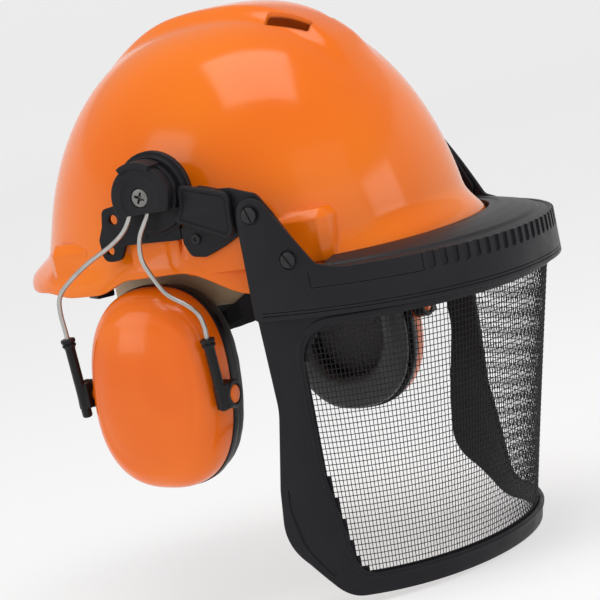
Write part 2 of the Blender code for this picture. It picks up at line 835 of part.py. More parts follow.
def cup_hollow():
    """Fill of the cup's inside, which trims the trunnions flush with its wall."""

    def place(u, v):
        angle = 2 * math.pi * u
        depth = math.sin(v * math.pi / 2)
        scale = max(1 - depth**2.8, 0.0) ** (1 / 2.4)
        p = (CUP_HALF_WIDTH - 2.6) * scale * signed_power(math.cos(angle), 2 / CUP_POWER)
        q = (CUP_HALF_HEIGHT - 2.6) * scale * signed_power(math.sin(angle), 2 / CUP_POWER)
        return cup_spot(p, q, -CUP_BASE + 2 - (CUP_DEPTH - 0.8) * depth)

    bm = bmesh.new()
    bmesh.ops.create_grid(bm, x_segments=26, y_segments=7, size=0.5)
    for vert in bm.verts:
        vert.co = place(vert.co.x + 0.5, vert.co.y + 0.5)
    bmesh.ops.remove_doubles(bm, verts=bm.verts, dist=0.01)
    bmesh.ops.holes_fill(bm, edges=[edge for edge in bm.edges if edge.is_boundary])
    bmesh.ops.recalc_face_normals(bm, faces=bm.faces)
    return object_from("hollow", bm)


def make_cup_inside():
    pivot = tuple(tilt_axis_point(CUP_Y))
    plate = side_plate(
        "cup_plate_right", [cup_outline(1, 0.5), cup_outline(0.62)], -(CUP_BASE - GAP), -91.0
    )
    cushion = side_plate("cushion_right", [cup_outline(0.98), cup_outline(0.62)], -90.6, -CUSHION_FACE)
    bevel(cushion, 3.0, 1, 60)
    foam = side_plate("foam_liner_right", [cup_outline(0.86)], -98.0, -108.0)
    return [
        finish(plate, BLACK, 0.4, origin=pivot),
        finish(cushion, BLACK, 0.6, origin=pivot),
        finish(foam, (0.03, 0.03, 0.035), 0.95, origin=pivot),
    ]


# ---- brow guard and mesh visor ----------------------------------------------------------------


class Plan:
    """U-shaped plan curve: a superellipse front with straight legs behind it, measured by arc length."""

    def __init__(self, side, reach, rear_y, power, steps=720):
        self.rear_y = rear_y
        self.points = []
        for step in range(steps + 1):
            angle = math.pi * step / steps
            x = -side * signed_power(math.cos(angle), 2 / power)
            y = rear_y - reach * math.sin(angle) ** (2 / power)
            self.points.append(Vector((x, y)))
        self.length = [0.0]
        for a, b in zip(self.points, self.points[1:]):
            self.length.append(self.length[-1] + (b - a).length)
        self.total = self.length[-1]

    def at(self, u):
        """Point and outward direction at an arc length from the right end; negative runs back along the leg."""
        if u <= 0:
            return self.points[0] + Vector((0, -u)), Vector((-1, 0))
        if u >= self.total:
            return self.points[-1] + Vector((0, u - self.total)), Vector((1, 0))
        low, high = 0, len(self.points) - 1
        while high - low > 1:
            middle = (low + high) // 2
            if self.length[middle] <= u:
                low = middle
            else:
                high = middle
        share = (u - self.length[low]) / (self.length[high] - self.length[low])
        tangent = (self.points[high] - self.points[low]).normalized()
        return self.points[low].lerp(self.points[high], share), Vector((tangent.y, -tangent.x))

    def u_at_y(self, y):
        """Arc length at which the right half passes this Y."""
        if y >= self.rear_y:
            return self.rear_y - y
        for length, point in zip(self.length, self.points):
            if point.y <= y:
                return length
        return self.total / 2


def both_sides(right, total):
    """Closed outline from its right half, which runs from the bottom at the middle to the top at the middle."""
    return right + [(total - u, h) for u, h in reversed(right)]


def guard_height(y, z):
    """Height above the guard's lower edge of a point with this Y and Z."""
    return z - GUARD_BOTTOM - GUARD_SLOPE * (y - GUARD_REAR_Y)


def make_brow_guard():
    plan = Plan(GUARD_SIDE, GUARD_REACH, GUARD_REAR_Y, GUARD_POWER)

    def place(u, h, depth):
        spot, outward = plan.at(u)
        spot = spot - outward * (GUARD_WALL / 2 - depth)
        z = GUARD_BOTTOM + h + GUARD_SLOPE * (spot.y - GUARD_REAR_Y)
        return (spot.x, spot.y, z)

    def corner(y, z, radius):
        return (plan.u_at_y(y), guard_height(y, z), radius)

    half = [(plan.total / 2, 0, 0), (plan.u_at_y(-51.6), 0, 3)]
    half += [corner(-52.6, 38, 0)]
    for step in range(9):
        angle = math.radians(15 + 140 * step / 8)
        half.append(corner(-62 + 9.0 * math.cos(angle), 40 + 9.0 * math.sin(angle), 0))
    half += [corner(-79, 30, 0), corner(-92, 8.5, 5), corner(-104, 4.8, 4), (plan.total / 2, GUARD_HEIGHT, 0)]
    right = [(point[0], point[1]) for point in rounded(half)]
    outline = both_sides(right[:-1], plan.total)
    columns = [plan.total * step / 40 for step in range(1, 40)]
    guard = bent_plate("brow_guard", [outline], GUARD_WALL, place, columns)

    inner = Plan(112.5, 132.0, 0.0, 2.25)
    start, inner_start = plan.u_at_y(CRESCENT_Y), inner.u_at_y(CRESCENT_Y)

    def crescent(u, v):
        outer_spot, outward = plan.at(start + (plan.total - 2 * start) * u)
        inner_spot, _ = inner.at(inner_start + (inner.total - 2 * inner_start) * u)
        outer_spot = outer_spot - outward * 1.2
        spot = outer_spot.lerp(inner_spot, v)
        ridge_z = GUARD_BOTTOM + GUARD_HEIGHT - 0.4 + GUARD_SLOPE * (outer_spot.y - GUARD_REAR_Y)
        inner_z = 9.5 - 1.0 * smoothstep(-60, -140, spot.y)
        z = ridge_z + (inner_z - ridge_z) * math.sin(v * math.pi / 2)
        return (spot.x, spot.y, z)

    top = sheet("crescent", crescent, 32, 2, -1.8)
    join(guard, top)
    for side in (-1, 1):
        for y, z in GUARD_SCREWS:
            cut(guard, rod("bore", (side * 100, y, z), (side * 125, y, z), 2.4, 12))
    return finish(guard, BLACK, 0.35, origin=(0, PIVOT_Y, PIVOT_Z))


def make_visor_arm():
    """Strap from the pivot pin to the brow guard's side, under the guard's skin."""
    outline = rounded(
        [
            (-25.5, 50, 7),
            (-29, 39, 6),
            (-44, 36, 4),
            (-54, 34, 3),
            (-71, 8, 5),
            (-82, 6, 6),
            (-87.5, 13, 6),
            (-74, 38, 6),
            (-66, 50.5, 7),
            (-50, 56, 6),
            (-32, 57, 7),
        ]
    )
    plan = Plan(GUARD_SIDE, GUARD_REACH, GUARD_REAR_Y, GUARD_POWER)
    outlines = [[(plan.u_at_y(y), z) for y, z in path] for path in (outline, ring(PIVOT_Y, PIVOT_Z, 3.8, 14))]
    columns = [plan.u_at_y(y) for y in (-56, -62, -68, -74, -80)]

    def place(u, h, depth):
        spot, outward = plan.at(u)
        spot = spot - outward * (GUARD_WALL + GAP + ARM_WALL / 2 - depth)
        return (spot.x, spot.y, h)

    arm = bent_plate("visor_arm_right", outlines, ARM_WALL, place, columns)
    for y, z in GUARD_SCREWS:
        cut(arm, rod("bore", (-100, y, z), (-125, y, z), 2.4, 12))
    return finish(arm, BLACK, 0.4, origin=(-111, PIVOT_Y, PIVOT_Z))


def make_guard_screws():
    plan = Plan(GUARD_SIDE, GUARD_REACH, GUARD_REAR_Y, GUARD_POWER)
    screws = []
    for name, (y, z) in zip(("upper", "lower"), GUARD_SCREWS):
        skin = abs(plan.at(plan.u_at_y(y))[0].x)
        screw = rod(f"guard_screw_{name}_right", (-skin + 6.5, y, z), (-skin - 1.8, y, z), 2.0, 12)
        join(screw, rod("head", (-skin - 1.1, y, z), (-skin - 2.6, y, z), 4.3, 18, 3.8))
        cut(screw, box("slot", (-skin - 4, y - 0.5, z - 5), (-skin - 1.8, y + 0.5, z + 5)))
        screws.append(finish(screw, BLACK, 0.3, origin=(-111, PIVOT_Y, PIVOT_Z)))
    return screws


FRAME_TOP_PLAN = Plan(GUARD_SIDE - GUARD_WALL - 0.8, GUARD_REACH - GUARD_WALL - 0.8, GUARD_REAR_Y, 2.15)
FRAME_LOW_PLAN = Plan(109.5, 73.0, GUARD_REAR_Y, 2.0)


def frame_point(u, z, inset):
    """Point of the visor surface: u is arc length at the top; the plan narrows towards the bottom."""
    share = (z - FRAME_TOP) / (FRAME_BOTTOM - FRAME_TOP)
    top, low = FRAME_TOP_PLAN, FRAME_LOW_PLAN
    if u < 0:
        low_u = u
    elif u > top.total:
        low_u = low.total + (u - top.total)
    else:
        low_u = u * low.total / top.total
    top_spot, top_out = top.at(u)
    low_spot, low_out = low.at(low_u)
    outward = (top_out * (1 - share) + low_out * share).normalized()
    spot = top_spot.lerp(low_spot, share) - outward * inset
    droop = 0.045 * (spot.y - GUARD_REAR_Y) * (0.6 + share)
    return (spot.x, spot.y, z + droop)


def make_visor_frame():
    total = FRAME_TOP_PLAN.total
    middle = total / 2
    outer = [
        (middle, FRAME_BOTTOM, 0),
        (24, FRAME_BOTTOM, 30),
        (-13, FRAME_BOTTOM + 30, 26),
        (-9, FRAME_BOTTOM + 62, 40),
        (1, FRAME_TOP - 55, 40),
        (0, FRAME_TOP, 3),
        (middle, FRAME_TOP, 0),
    ]
    opening = [
        (middle, FRAME_BOTTOM + 12, 0),
        (34, FRAME_BOTTOM + 12, 14),
        (22, FRAME_BOTTOM + 70, 30),
        (22, FRAME_TOP - 10.5, 26),
        (middle, FRAME_TOP - 10.5, 0),
    ]
    outlines = []
    for half in (outer, opening):
        right = [(point[0], point[1]) for point in rounded(half, 5)]
        outlines.append(both_sides(right[1:-1], total))
    columns = [total * step / 36 for step in range(37)]

    def place(u, h, depth):
        return frame_point(u, h, FRAME_WALL / 2 - depth)

    frame = bent_plate("visor_frame", outlines, FRAME_WALL, place, columns)
    return finish(frame, BLACK, 0.4, origin=(0, PIVOT_Y, PIVOT_Z))


def make_visor_mesh():
    """Wire mesh panel as one thin closed sheet behind the frame's opening."""
    total = FRAME_TOP_PLAN.total

    def place(u, v):
        across = 17 + (total - 34) * u
        z = FRAME_BOTTOM + 6 + (FRAME_TOP - 8 - FRAME_BOTTOM - 6) * v
        return frame_point(across, z, FRAME_WALL + GAP)

    mesh = sheet("visor_mesh", place, 32, 1, -0.8)
    return finish(mesh, BLACK, 0.5, origin=(0, PIVOT_Y, PIVOT_Z))


def make_visor_clips():
    """Studs that hold the visor frame in the brow guard, one on each side."""
    spot = Vector(frame_point(30, -17.5, 0))
    _, outward = FRAME_TOP_PLAN.at(30)
    outward = Vector((outward.x, outward.y, 0))
    clip = rod("visor_clip_right", spot - outward * 7.4, spot - outward * 3.0, 3.4, 16)
    return finish(clip, STEEL, 0.3, 1.0, origin=(0, PIVOT_Y, PIVOT_Z))


def main():
    clear_scene()
    make_shell()
    make_suspension()
    make_nape_adjuster()
    make_crown_straps()
    fixed = [make_muff_base(), *make_visor_bracket(), make_visor_cover()]
    fixed += [make_visor_arm(), *make_guard_screws(), make_visor_clips()]
    for piece in fixed:
        left_copy(piece)
    turned = [make_hub(), make_hub_screw(), *make_wires()]
    turned.append(make_sleeve("sleeve_rear_right", REAR_SLEEVE_TOP, 46, 67.6, 72.6))
    turned.append(make_sleeve("sleeve_front_right", FRONT_SLEEVE_TOP, 41, -23.4, -18.4))
    turned.append(make_cup_shell())
    turned += make_cup_inside()
    for piece in turned:
        left_copy(piece, LEFT_MUFF_TURN)
    make_brow_guard()
    make_visor_frame()
    make_visor_mesh()


main()
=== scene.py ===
"""Looks of the forestry safety helmet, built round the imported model.

The face looks along -Y and the wearer's left is +X. Shapes are made in millimetres on the right-hand
side, where X is negative, turned into metres by MM, and mirrored for the left-hand side.
"""

import math
from bisect import bisect_right

import bmesh
import bpy
from mathutils import Matrix, Vector, noise


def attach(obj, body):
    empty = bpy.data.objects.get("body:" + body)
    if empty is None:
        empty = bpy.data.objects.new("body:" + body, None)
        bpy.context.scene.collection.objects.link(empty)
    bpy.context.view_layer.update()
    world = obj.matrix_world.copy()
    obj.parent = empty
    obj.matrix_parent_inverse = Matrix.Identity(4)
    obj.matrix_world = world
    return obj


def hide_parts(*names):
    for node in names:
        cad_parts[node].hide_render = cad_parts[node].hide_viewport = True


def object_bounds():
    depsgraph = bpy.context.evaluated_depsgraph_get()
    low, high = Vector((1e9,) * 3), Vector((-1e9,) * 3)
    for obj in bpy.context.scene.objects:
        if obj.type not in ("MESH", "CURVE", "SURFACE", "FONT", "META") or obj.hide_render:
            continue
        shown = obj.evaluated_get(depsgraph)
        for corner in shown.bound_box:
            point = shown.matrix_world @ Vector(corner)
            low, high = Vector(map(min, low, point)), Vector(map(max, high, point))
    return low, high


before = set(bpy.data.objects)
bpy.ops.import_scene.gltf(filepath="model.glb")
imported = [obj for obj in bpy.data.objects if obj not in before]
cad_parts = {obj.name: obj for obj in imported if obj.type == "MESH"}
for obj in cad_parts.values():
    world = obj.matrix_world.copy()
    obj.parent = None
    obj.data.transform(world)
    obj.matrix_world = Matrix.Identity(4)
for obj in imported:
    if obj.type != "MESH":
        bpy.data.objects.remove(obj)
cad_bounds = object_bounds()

MM = 0.001
SCENE = bpy.context.scene
OUT = (-1, 0, 0)  # away from the head, on the right-hand side

# Driving dimensions, in millimetres and degrees, as in the model.
SHELL_SIDE, SHELL_FRONT, SHELL_REAR, SHELL_HEIGHT, SHELL_WALL = 104.6, 121.0, 128.5, 144.5, 2.4
DOME_RISE_POWER, DOME_SIZE_POWER, DOME_PLAN_POWER = 1.85, 2.45, 2.25
RIDGE_HEIGHT = 6.0
CORE_FLOOR = -40.0
SLOT_LOW, SLOT_HIGH = 34.0, 41.0
STRAP_LOW, STRAP_WIDTH = 22, 19
KNOB_Z = -32
PLATE_X = -106.4
TURRET_Y, TURRET_Z, HUB_RADIUS = -1.3, 59.0, 18.0
LEFT_MUFF_TURN = -9.0
CUP_Y, CUP_Z, CUP_HALF_WIDTH, CUP_HALF_HEIGHT = 24.5, -50.0, 41.8, 57.0
CUP_POWER = 2.5
CUP_LEAN = math.radians(6)
CUP_BASE, CUP_DEPTH, CUSHION_FACE, CUSHION_BACK = 97.0, 29.0, 80.0, 90.6
TRUNNION_X, TRUNNION_DROP = 105.0, 2.0
WIRE_RADIUS, SLEEVE_RADIUS = 1.35, 2.9
SLEEVE_DIRECTION = Vector((0.11, 0.02, -0.994)).normalized()
FRONT_SLEEVE_TOP, REAR_SLEEVE_TOP = Vector((-117.0, -20.5, -23.5)), Vector((-117.0, 69.5, -13.8))
PIVOT_Y, PIVOT_Z = -36.0, 47.0
BRACKET_SCREW = (-22.5, 31.0)
GUARD_SCREWS = ((-62.0, 40.0), (-79.0, 13.0))
GUARD_SIDE, GUARD_REACH, GUARD_REAR_Y, GUARD_POWER = 115.9, 119.5, -51.5, 2.15
GUARD_BOTTOM, GUARD_HEIGHT, GUARD_SLOPE, GUARD_WALL = -18.0, 25.0, 0.05, 2.4
CRESCENT_SIDE, CRESCENT_REACH, CRESCENT_POWER, CRESCENT_Y = 112.5, 132.0, 2.25, -93.5
GRIP_COUNT, GRIP_PITCH, GRIP_WIDTH = 24, 7.3, 4.4
PANEL_START, PANEL_WIDTH, PANEL_HEIGHT = 12.2 * GRIP_PITCH, 62, 9.0
CUTTER_THICKNESS = 6.0
ARM_WALL = 2.2
FRAME_TOP, FRAME_BOTTOM, FRAME_WALL = -13.0, -175.0, 2.6
FRAME_LOW_SIDE, FRAME_LOW_REACH = 109.5, 73.0
UPRIGHT_PITCH, CROSS_WIRE_PITCH, MESH_WIRE_RADIUS, WEAVE_LIFT = 2.5, 3.05, 0.23, 0.22

# Studio, in metres and watts: each light's name, place, aim, size and power.
FLOOR_GAP = 0.0015
WORLD_STRENGTH = 0.52
LIGHTS = (
    ("overhead", (-0.25, -0.15, 1.25), (0, 0, 0.05), (0.95, 0.8), 7.0),
    ("side", (-1.3, 0.9, 0.7), (0, 0, 0), (0.5, 1.1), 3.0),
    ("front", (-0.9, -1.5, 0.5), (0, -0.05, -0.05), (1.3, 1.3), 2.0),
    ("brim", (0.25, -1.7, 0.45), (0, -0.17, 0), (0.9, 0.3), 1.6),
)


# ---- camera, floor and light -------------------------------------------------------------------


def add_camera():
    """Camera on the wearer's right, a little in front and above, rolled to one side."""
    turn, rise, roll = (math.radians(degrees) for degrees in (30.018, 7.0, -11.603))
    distance, target = 1631.06, Vector((-1.086, -15.631, -25.185))
    back = Vector((-math.cos(turn) * math.cos(rise), -math.sin(turn) * math.cos(rise), math.sin(rise)))
    side = (-back).cross(Vector((0, 0, 1))).normalized()
    up = side.cross(-back)
    x_axis = math.cos(roll) * side + math.sin(roll) * up
    y_axis = -math.sin(roll) * side + math.cos(roll) * up
    data = bpy.data.cameras.new("camera")
    data.sensor_width = 36.0
    data.lens = 168.7536
    data.clip_end = 500.0
    camera = bpy.data.objects.new("camera", data)
    SCENE.collection.objects.link(camera)
    matrix = Matrix((x_axis, y_axis, back)).transposed().to_4x4()
    camera.matrix_world = Matrix.Translation((target + back * distance) * MM) @ matrix
    SCENE.camera = camera


def add_area(name, place, aim, size, power):
    data = bpy.data.lights.new(name, "AREA")
    data.shape = "RECTANGLE"
    data.size, data.size_y = size
    data.energy = power
    light = bpy.data.objects.new(name, data)
    SCENE.collection.objects.link(light)
    light.location = place
    light.rotation_euler = (Vector(aim) - Vector(place)).to_track_quat("-Z", "Y").to_euler()


def add_studio():
    SCENE.view_settings.view_transform = "Standard"
    SCENE.world = bpy.data.worlds.new("studio")
    SCENE.world.use_nodes = True
    background = SCENE.world.node_tree.nodes["Background"]
    background.inputs["Color"].default_value = (1.0, 1.0, 1.0, 1)
    background.inputs["Strength"].default_value = WORLD_STRENGTH
    for light in LIGHTS:
        add_area(*light)


def add_floor():
    """Flat floor that curves up far away on every side, so that no horizon shows."""
    bm = bmesh.new()
    profile = [(2000, 0), (5000, 0), (6500, 100), (7600, 500), (8400, 1200), (8800, 2200), (9000, 3600)]
    rings = [[bm.verts.new((x, y, z)) for x, y in ring(0, 0, radius, 48)[::-1]] for radius, z in profile]
    loft(bm, rings, first_cap=True)
    floor = object_from("floor", bm)
    floor.data.shade_smooth()
    floor.data.materials.append(light_table("floor_white"))
    floor.location = (0, 0, cad_bounds[0][2] - FLOOR_GAP)


# ---- materials ---------------------------------------------------------------------------------


class Nodes:
    """Short way to write a material's node tree; an underscore in a name stands for a space."""

    def __init__(self, name):
        self.material = bpy.data.materials.new(name)
        self.material.use_nodes = True
        self.tree = self.material.node_tree
        self.shader = self.tree.nodes["Principled BSDF"]

    def add(self, kind, **values):
        node = self.tree.nodes.new(kind)
        for key, value in values.items():
            socket = key.replace("_", " ")
            if socket in node.inputs:
                node.inputs[socket].default_value = value
            else:
                setattr(node, key, value)
        return node

    def link(self, source, target, out=0):
        self.tree.links.new(source.outputs[out], target)

    def set(self, **values):
        for key, value in values.items():
            self.shader.inputs[key.replace("_", " ")].default_value = value

    def place(self, scale=1.0):
        """Object coordinates, which stay with the piece."""
        scales = (scale,) * 3 if isinstance(scale, (int, float)) else scale
        mapping = self.add("ShaderNodeMapping", Scale=scales)
        self.link(self.add("ShaderNodeTexCoord"), mapping.inputs["Vector"], "Object")
        return mapping

    def noise(self, scale, detail=3.0, roughness=0.5, stretch=1.0):
        node = self.add("ShaderNodeTexNoise", Scale=scale, Detail=detail, Roughness=roughness)
        self.link(self.place(stretch), node.inputs["Vector"])
        return node

    def ramp(self, source, stops, out=0):
        node = self.add("ShaderNodeValToRGB")
        for element, (position, colour) in zip(node.color_ramp.elements, stops):
            element.position = position
            element.color = (*colour, 1)
        self.link(source, node.inputs["Fac"], out)
        return node

    def grey_ramp(self, source, stops, out=0):
        return self.ramp(source, [(position, (value,) * 3) for position, value in stops], out)

    def bump(self, source, strength, distance, before=None, out=0):
        node = self.add("ShaderNodeBump", Strength=strength, Distance=distance)
        self.link(source, node.inputs["Height"], out)
        if before:
            self.link(before, node.inputs["Normal"])
        return node

    def mix(self, factor, first, second, blend="MIX"):
        """Mixes two colours or nodes by a number or by a node's first output."""
        node = self.add("ShaderNodeMix", data_type="RGBA", blend_type=blend)
        if hasattr(factor, "outputs"):
            self.link(factor, node.inputs[0])
        else:
            node.inputs[0].default_value = factor
        for value, slot in ((first, node.inputs[6]), (second, node.inputs[7])):
            if hasattr(value, "outputs"):
                self.link(value, slot, colour_output(value))
            else:
                slot.default_value = (*value, 1)
        return node

    def edges(self, radius):
        """Bevelled normal, for the small rounding that moulded edges have."""
        return self.add("ShaderNodeBevel", samples=4, Radius=radius)

    def painted_edge_highlight(self, radius, amount):
        """Painted edge highlight: the amount near an edge and 0 on flat skin, from how far the bevelled normal
        leans.
        """
        dot = self.add("ShaderNodeVectorMath", operation="DOT_PRODUCT")
        self.link(self.edges(radius), dot.inputs[0])
        self.link(self.add("ShaderNodeNewGeometry"), dot.inputs[1], "Normal")
        edge_highlight = self.add("ShaderNodeMapRange", From_Min=0.995, From_Max=0.80, To_Min=0.0, To_Max=amount)
        self.link(dot, edge_highlight.inputs["Value"], "Value")
        return edge_highlight

    def colour(self, node):
        self.link(node, self.shader.inputs["Base Color"], colour_output(node))

    def normal(self, node):
        self.link(node, self.shader.inputs["Normal"])

    def roughness(self, node):
        self.link(node, self.shader.inputs["Roughness"])


def colour_output(node):
    """Number of the output that carries a node's colour."""
    return 2 if node.bl_idname == "ShaderNodeMix" else 0


def shade(colour, factor, lift=0.0):
    return tuple(min(1.0, value * factor + lift) for value in colour)


def light_table(name):
    """White floor lit from below as well as from above, so that it stays even to the horizon."""
    tree = Nodes(name)
    tree.colour(tree.grey_ramp(tree.noise(0.5, 1.0), [(0.3, 0.44), (0.7, 0.46)]))
    tree.set(Roughness=1.0, Specular_IOR_Level=0.0, Emission_Strength=0.56, Emission_Color=(1, 1, 1, 1))
    return tree.material


def gloss_orange(name, deep, bright, scale):
    """Glossy moulded ABS: slight shade drift, faint orange peel, fine handling scratches."""
    tree = Nodes(name)
    tree.colour(tree.ramp(tree.noise(scale, 2.0), [(0.35, deep), (0.65, bright)]))
    scratch = tree.noise(55.0, 5.0, 0.7, (1.0, 1.0, 9.0))
    tree.roughness(tree.grey_ramp(scratch, [(0.45, 0.14), (0.75, 0.24)]))
    tree.normal(tree.bump(tree.noise(260.0, 1.0), 0.10, 0.00025, tree.edges(0.0016)))
    tree.set(Coat_Weight=0.12, Coat_Roughness=0.06, Specular_IOR_Level=0.32)
    return tree.material


def moulded_plastic(name, colour, rough, grain, depth, edge_highlight=0.35, edge=0.0009):
    """Moulded plastic with a spark-eroded grain and dust in it, its edges painted paler as a painted highlight.
    """
    tree = Nodes(name)
    dust = tree.grey_ramp(tree.noise(38.0, 4.0, 0.6), [(0.42, 0.0), (0.8, 0.35)])
    base = tree.mix(dust, colour, shade(colour, 1.5, 0.004))
    # Paler edges: a painted highlight along every edge.
    tree.colour(tree.mix(tree.painted_edge_highlight(edge, edge_highlight), base, shade(colour, 2.6, 0.02)))
    tree.roughness(tree.grey_ramp(tree.noise(90.0, 3.0), [(0.3, rough - 0.06), (0.75, rough + 0.08)]))
    tree.normal(tree.bump(tree.noise(grain, 2.0, 0.6), 0.55, depth, tree.edges(edge)))
    tree.set(Specular_IOR_Level=0.22)
    return tree.material


def metal(name, colour, rough, stretch=1.0):
    tree = Nodes(name)
    streaks = tree.noise(120.0, 4.0, 0.7, stretch)
    tree.colour(tree.ramp(streaks, [(0.3, shade(colour, 0.72)), (0.7, colour)]))
    tree.roughness(tree.grey_ramp(streaks, [(0.3, rough), (0.8, rough + 0.18)]))
    tree.normal(tree.bump(streaks, 0.15, 0.0001))
    tree.set(Metallic=1.0)
    return tree.material


def webbing(name, colour, pitch=0.0011):
    """Plain woven webbing: two sets of threads that pass over and under, painted darker where the weave sinks,
    as painted shade between the threads.
    """
    tree = Nodes(name)
    place = tree.place()
    waves = [tree.add("ShaderNodeTexWave", bands_direction=axis, Scale=0.3 / pitch) for axis in ("X", "Y")]
    for wave in waves:
        tree.link(place, wave.inputs["Vector"])
    weave = tree.mix(0.5, *waves, "MULTIPLY")
    # Darker in the weave's hollows: painted shade between the threads.
    tree.colour(tree.ramp(weave, [(0.1, shade(colour, 0.5)), (0.6, colour)], 2))
    tree.normal(tree.bump(weave, 0.8, 0.0004, out=2))
    tree.set(Roughness=0.85, Sheen_Weight=0.35)
    return tree.material


def foam_material(name, colour):
    """Open-cell foam: pits painted dark between paler cell walls, as painted shade in the pits."""
    tree = Nodes(name)
    cells = tree.add("ShaderNodeTexVoronoi", Scale=900.0)
    tree.link(tree.place(), cells.inputs["Vector"])
    # Darker in the cells' pits: painted shade.
    tree.colour(tree.ramp(cells, [(0.1, shade(colour, 0.35)), (0.6, colour)]))
    tree.normal(tree.bump(cells, 0.9, 0.0006))
    tree.set(Roughness=0.95)
    return tree.material


def skin_material(name):
    """Soft PVC skin: fine leather-like creases and a dull shine."""
    tree = Nodes(name)
    creases = tree.add("ShaderNodeTexVoronoi", Scale=420.0, feature="DISTANCE_TO_EDGE")
    tree.link(tree.place(), creases.inputs["Vector"])
    blacks = [(0.3, (0.012, 0.012, 0.013)), (0.7, (0.028, 0.028, 0.030))]
    tree.colour(tree.ramp(tree.noise(30.0, 3.0), blacks))
    first = tree.bump(creases, 0.25, 0.0003)
    tree.normal(tree.bump(tree.noise(60.0, 3.0), 0.35, 0.0010, first))
    tree.roughness(tree.grey_ramp(tree.noise(45.0, 2.0), [(0.3, 0.36), (0.7, 0.52)]))
    tree.set(Sheen_Weight=0.08)
    return tree.material


def crescent_material(name):
    """Guard's top: the black plastic with rows of fine raised dots, its edges painted paler as a painted
    highlight.
    """
    tree = Nodes(name)
    dots = tree.add("ShaderNodeTexVoronoi", Scale=620.0, Randomness=0.0)
    tree.link(tree.place(), dots.inputs["Vector"])
    round_dots = tree.grey_ramp(dots, [(0.18, 1.0), (0.42, 0.0)])
    # Paler edges: a painted highlight along the edges.
    tree.colour(tree.mix(tree.painted_edge_highlight(0.0009, 0.25), (0.0100, 0.0095, 0.0120), (0.05, 0.05, 0.055)))
    grain = tree.bump(tree.noise(2600.0, 2.0), 0.5, 0.00016, tree.edges(0.0009))
    tree.normal(tree.bump(round_dots, 0.5, 0.00035, grain))
    tree.set(Roughness=0.42, Specular_IOR_Level=0.28)
    return tree.material


ORANGE = gloss_orange("orange_shell", (0.86, 0.155, 0.003), (0.92, 0.205, 0.005), 7.0)
CUP_ORANGE = gloss_orange("orange_cup", (0.83, 0.135, 0.003), (0.90, 0.175, 0.005), 14.0)
GUARD_BLACK = moulded_plastic("guard_black", (0.0085, 0.0080, 0.0105), 0.40, 2400.0, 0.00016)
FRAME_BLACK = moulded_plastic("frame_black", (0.0070, 0.0066, 0.0090), 0.46, 2600.0, 0.00014, 0.22)
HUB_BLACK = moulded_plastic("hub_black", (0.0080, 0.0078, 0.0100), 0.50, 2000.0, 0.00022, 0.30)
SMOOTH_BLACK = moulded_plastic("smooth_black", (0.0065, 0.0065, 0.0080), 0.30, 900.0, 0.00006, 0.30)
BAND_BLACK = moulded_plastic("band_black", (0.0090, 0.0088, 0.0100), 0.62, 1500.0, 0.00025, 0.2)
CRESCENT = crescent_material("guard_top_dots")
WIRE_STEEL = metal("wire_steel", (0.52, 0.51, 0.49), 0.24, (1.0, 1.0, 0.12))
SCREW_STEEL = metal("screw_steel", (0.24, 0.235, 0.23), 0.34)
BLACK_STEEL = moulded_plastic("black_steel", (0.022, 0.022, 0.024), 0.28, 1200.0, 0.00008, 0.5, 0.0004)
MESH_WIRE = moulded_plastic("mesh_wire", (0.022, 0.022, 0.024), 0.38, 1500.0, 0.00003, 0.0)
KHAKI_WEB = webbing("khaki_webbing", (0.34, 0.265, 0.165))
KHAKI_BAND = moulded_plastic("khaki_band", (0.42, 0.33, 0.21), 0.60, 1500.0, 0.0002, 0.1)
SWEAT_CLOTH = webbing("sweat_cloth", (0.30, 0.21, 0.13), 0.0008)
CUSHION_SKIN = skin_material("cushion_skin")
FOAM = foam_material("acoustic_foam", (0.075, 0.075, 0.080))


# ---- geometry tools ----------------------------------------------------------------------------


def smoothstep(low, high, value):
    share = min(max((value - low) / (high - low), 0.0), 1.0)
    return share * share * (3 - 2 * share)


def signed_power(value, power):
    return math.copysign(abs(value) ** power, value)


def object_from(name, bm):
    """New object from a mesh in millimetres."""
    bm.transform(Matrix.Scale(MM, 4))
    mesh = bpy.data.meshes.new(name)
    bm.to_mesh(mesh)
    bm.free()
    obj = bpy.data.objects.new(name, mesh)
    SCENE.collection.objects.link(obj)
    return obj


def evaluated_mesh(obj):
    graph = bpy.context.evaluated_depsgraph_get()
    return bpy.data.meshes.new_from_object(obj.evaluated_get(graph))


def bake(obj):
    mesh = evaluated_mesh(obj)
    obj.modifiers.clear()
    obj.data = mesh
    return obj


def bevel(obj, width, segments=2, angle=40):
    modifier = obj.modifiers.new("bevel", "BEVEL")
    modifier.width = width * MM
    modifier.segments = segments
    modifier.limit_method = "ANGLE"
    modifier.angle_limit = math.radians(angle)
    return bake(obj)


def combine(obj, other, operation):
    modifier = obj.modifiers.new("combine", "BOOLEAN")
    modifier.operation = operation
    modifier.object = other
    bake(obj)
    bpy.data.objects.remove(other, do_unlink=True)
    return obj


def join(obj, *others):
    for other in others:
        combine(obj, other, "UNION")
    return obj


def cut(obj, *others):
    for other in others:
        combine(obj, other, "DIFFERENCE")
    return obj


def merge(obj, *others):
    """Puts the meshes of other objects into this one as they are."""
    bm = bmesh.new()
    bm.from_mesh(obj.data)
    for other in others:
        bm.from_mesh(other.data)
        bpy.data.objects.remove(other, do_unlink=True)
    mesh = bpy.data.meshes.new(obj.name)
    bm.to_mesh(mesh)
    bm.free()
    obj.data = mesh
    return obj


def box(name, low, high, edge=0.0, segments=3):
    low, high = Vector(low), Vector(high)
    bm = bmesh.new()
    bmesh.ops.create_cube(bm, size=1)
    bm.transform(Matrix.Translation((low + high) / 2) @ Matrix.Diagonal((*(high - low), 1)))
    obj = object_from(name, bm)
    return bevel(obj, edge, segments) if edge else obj


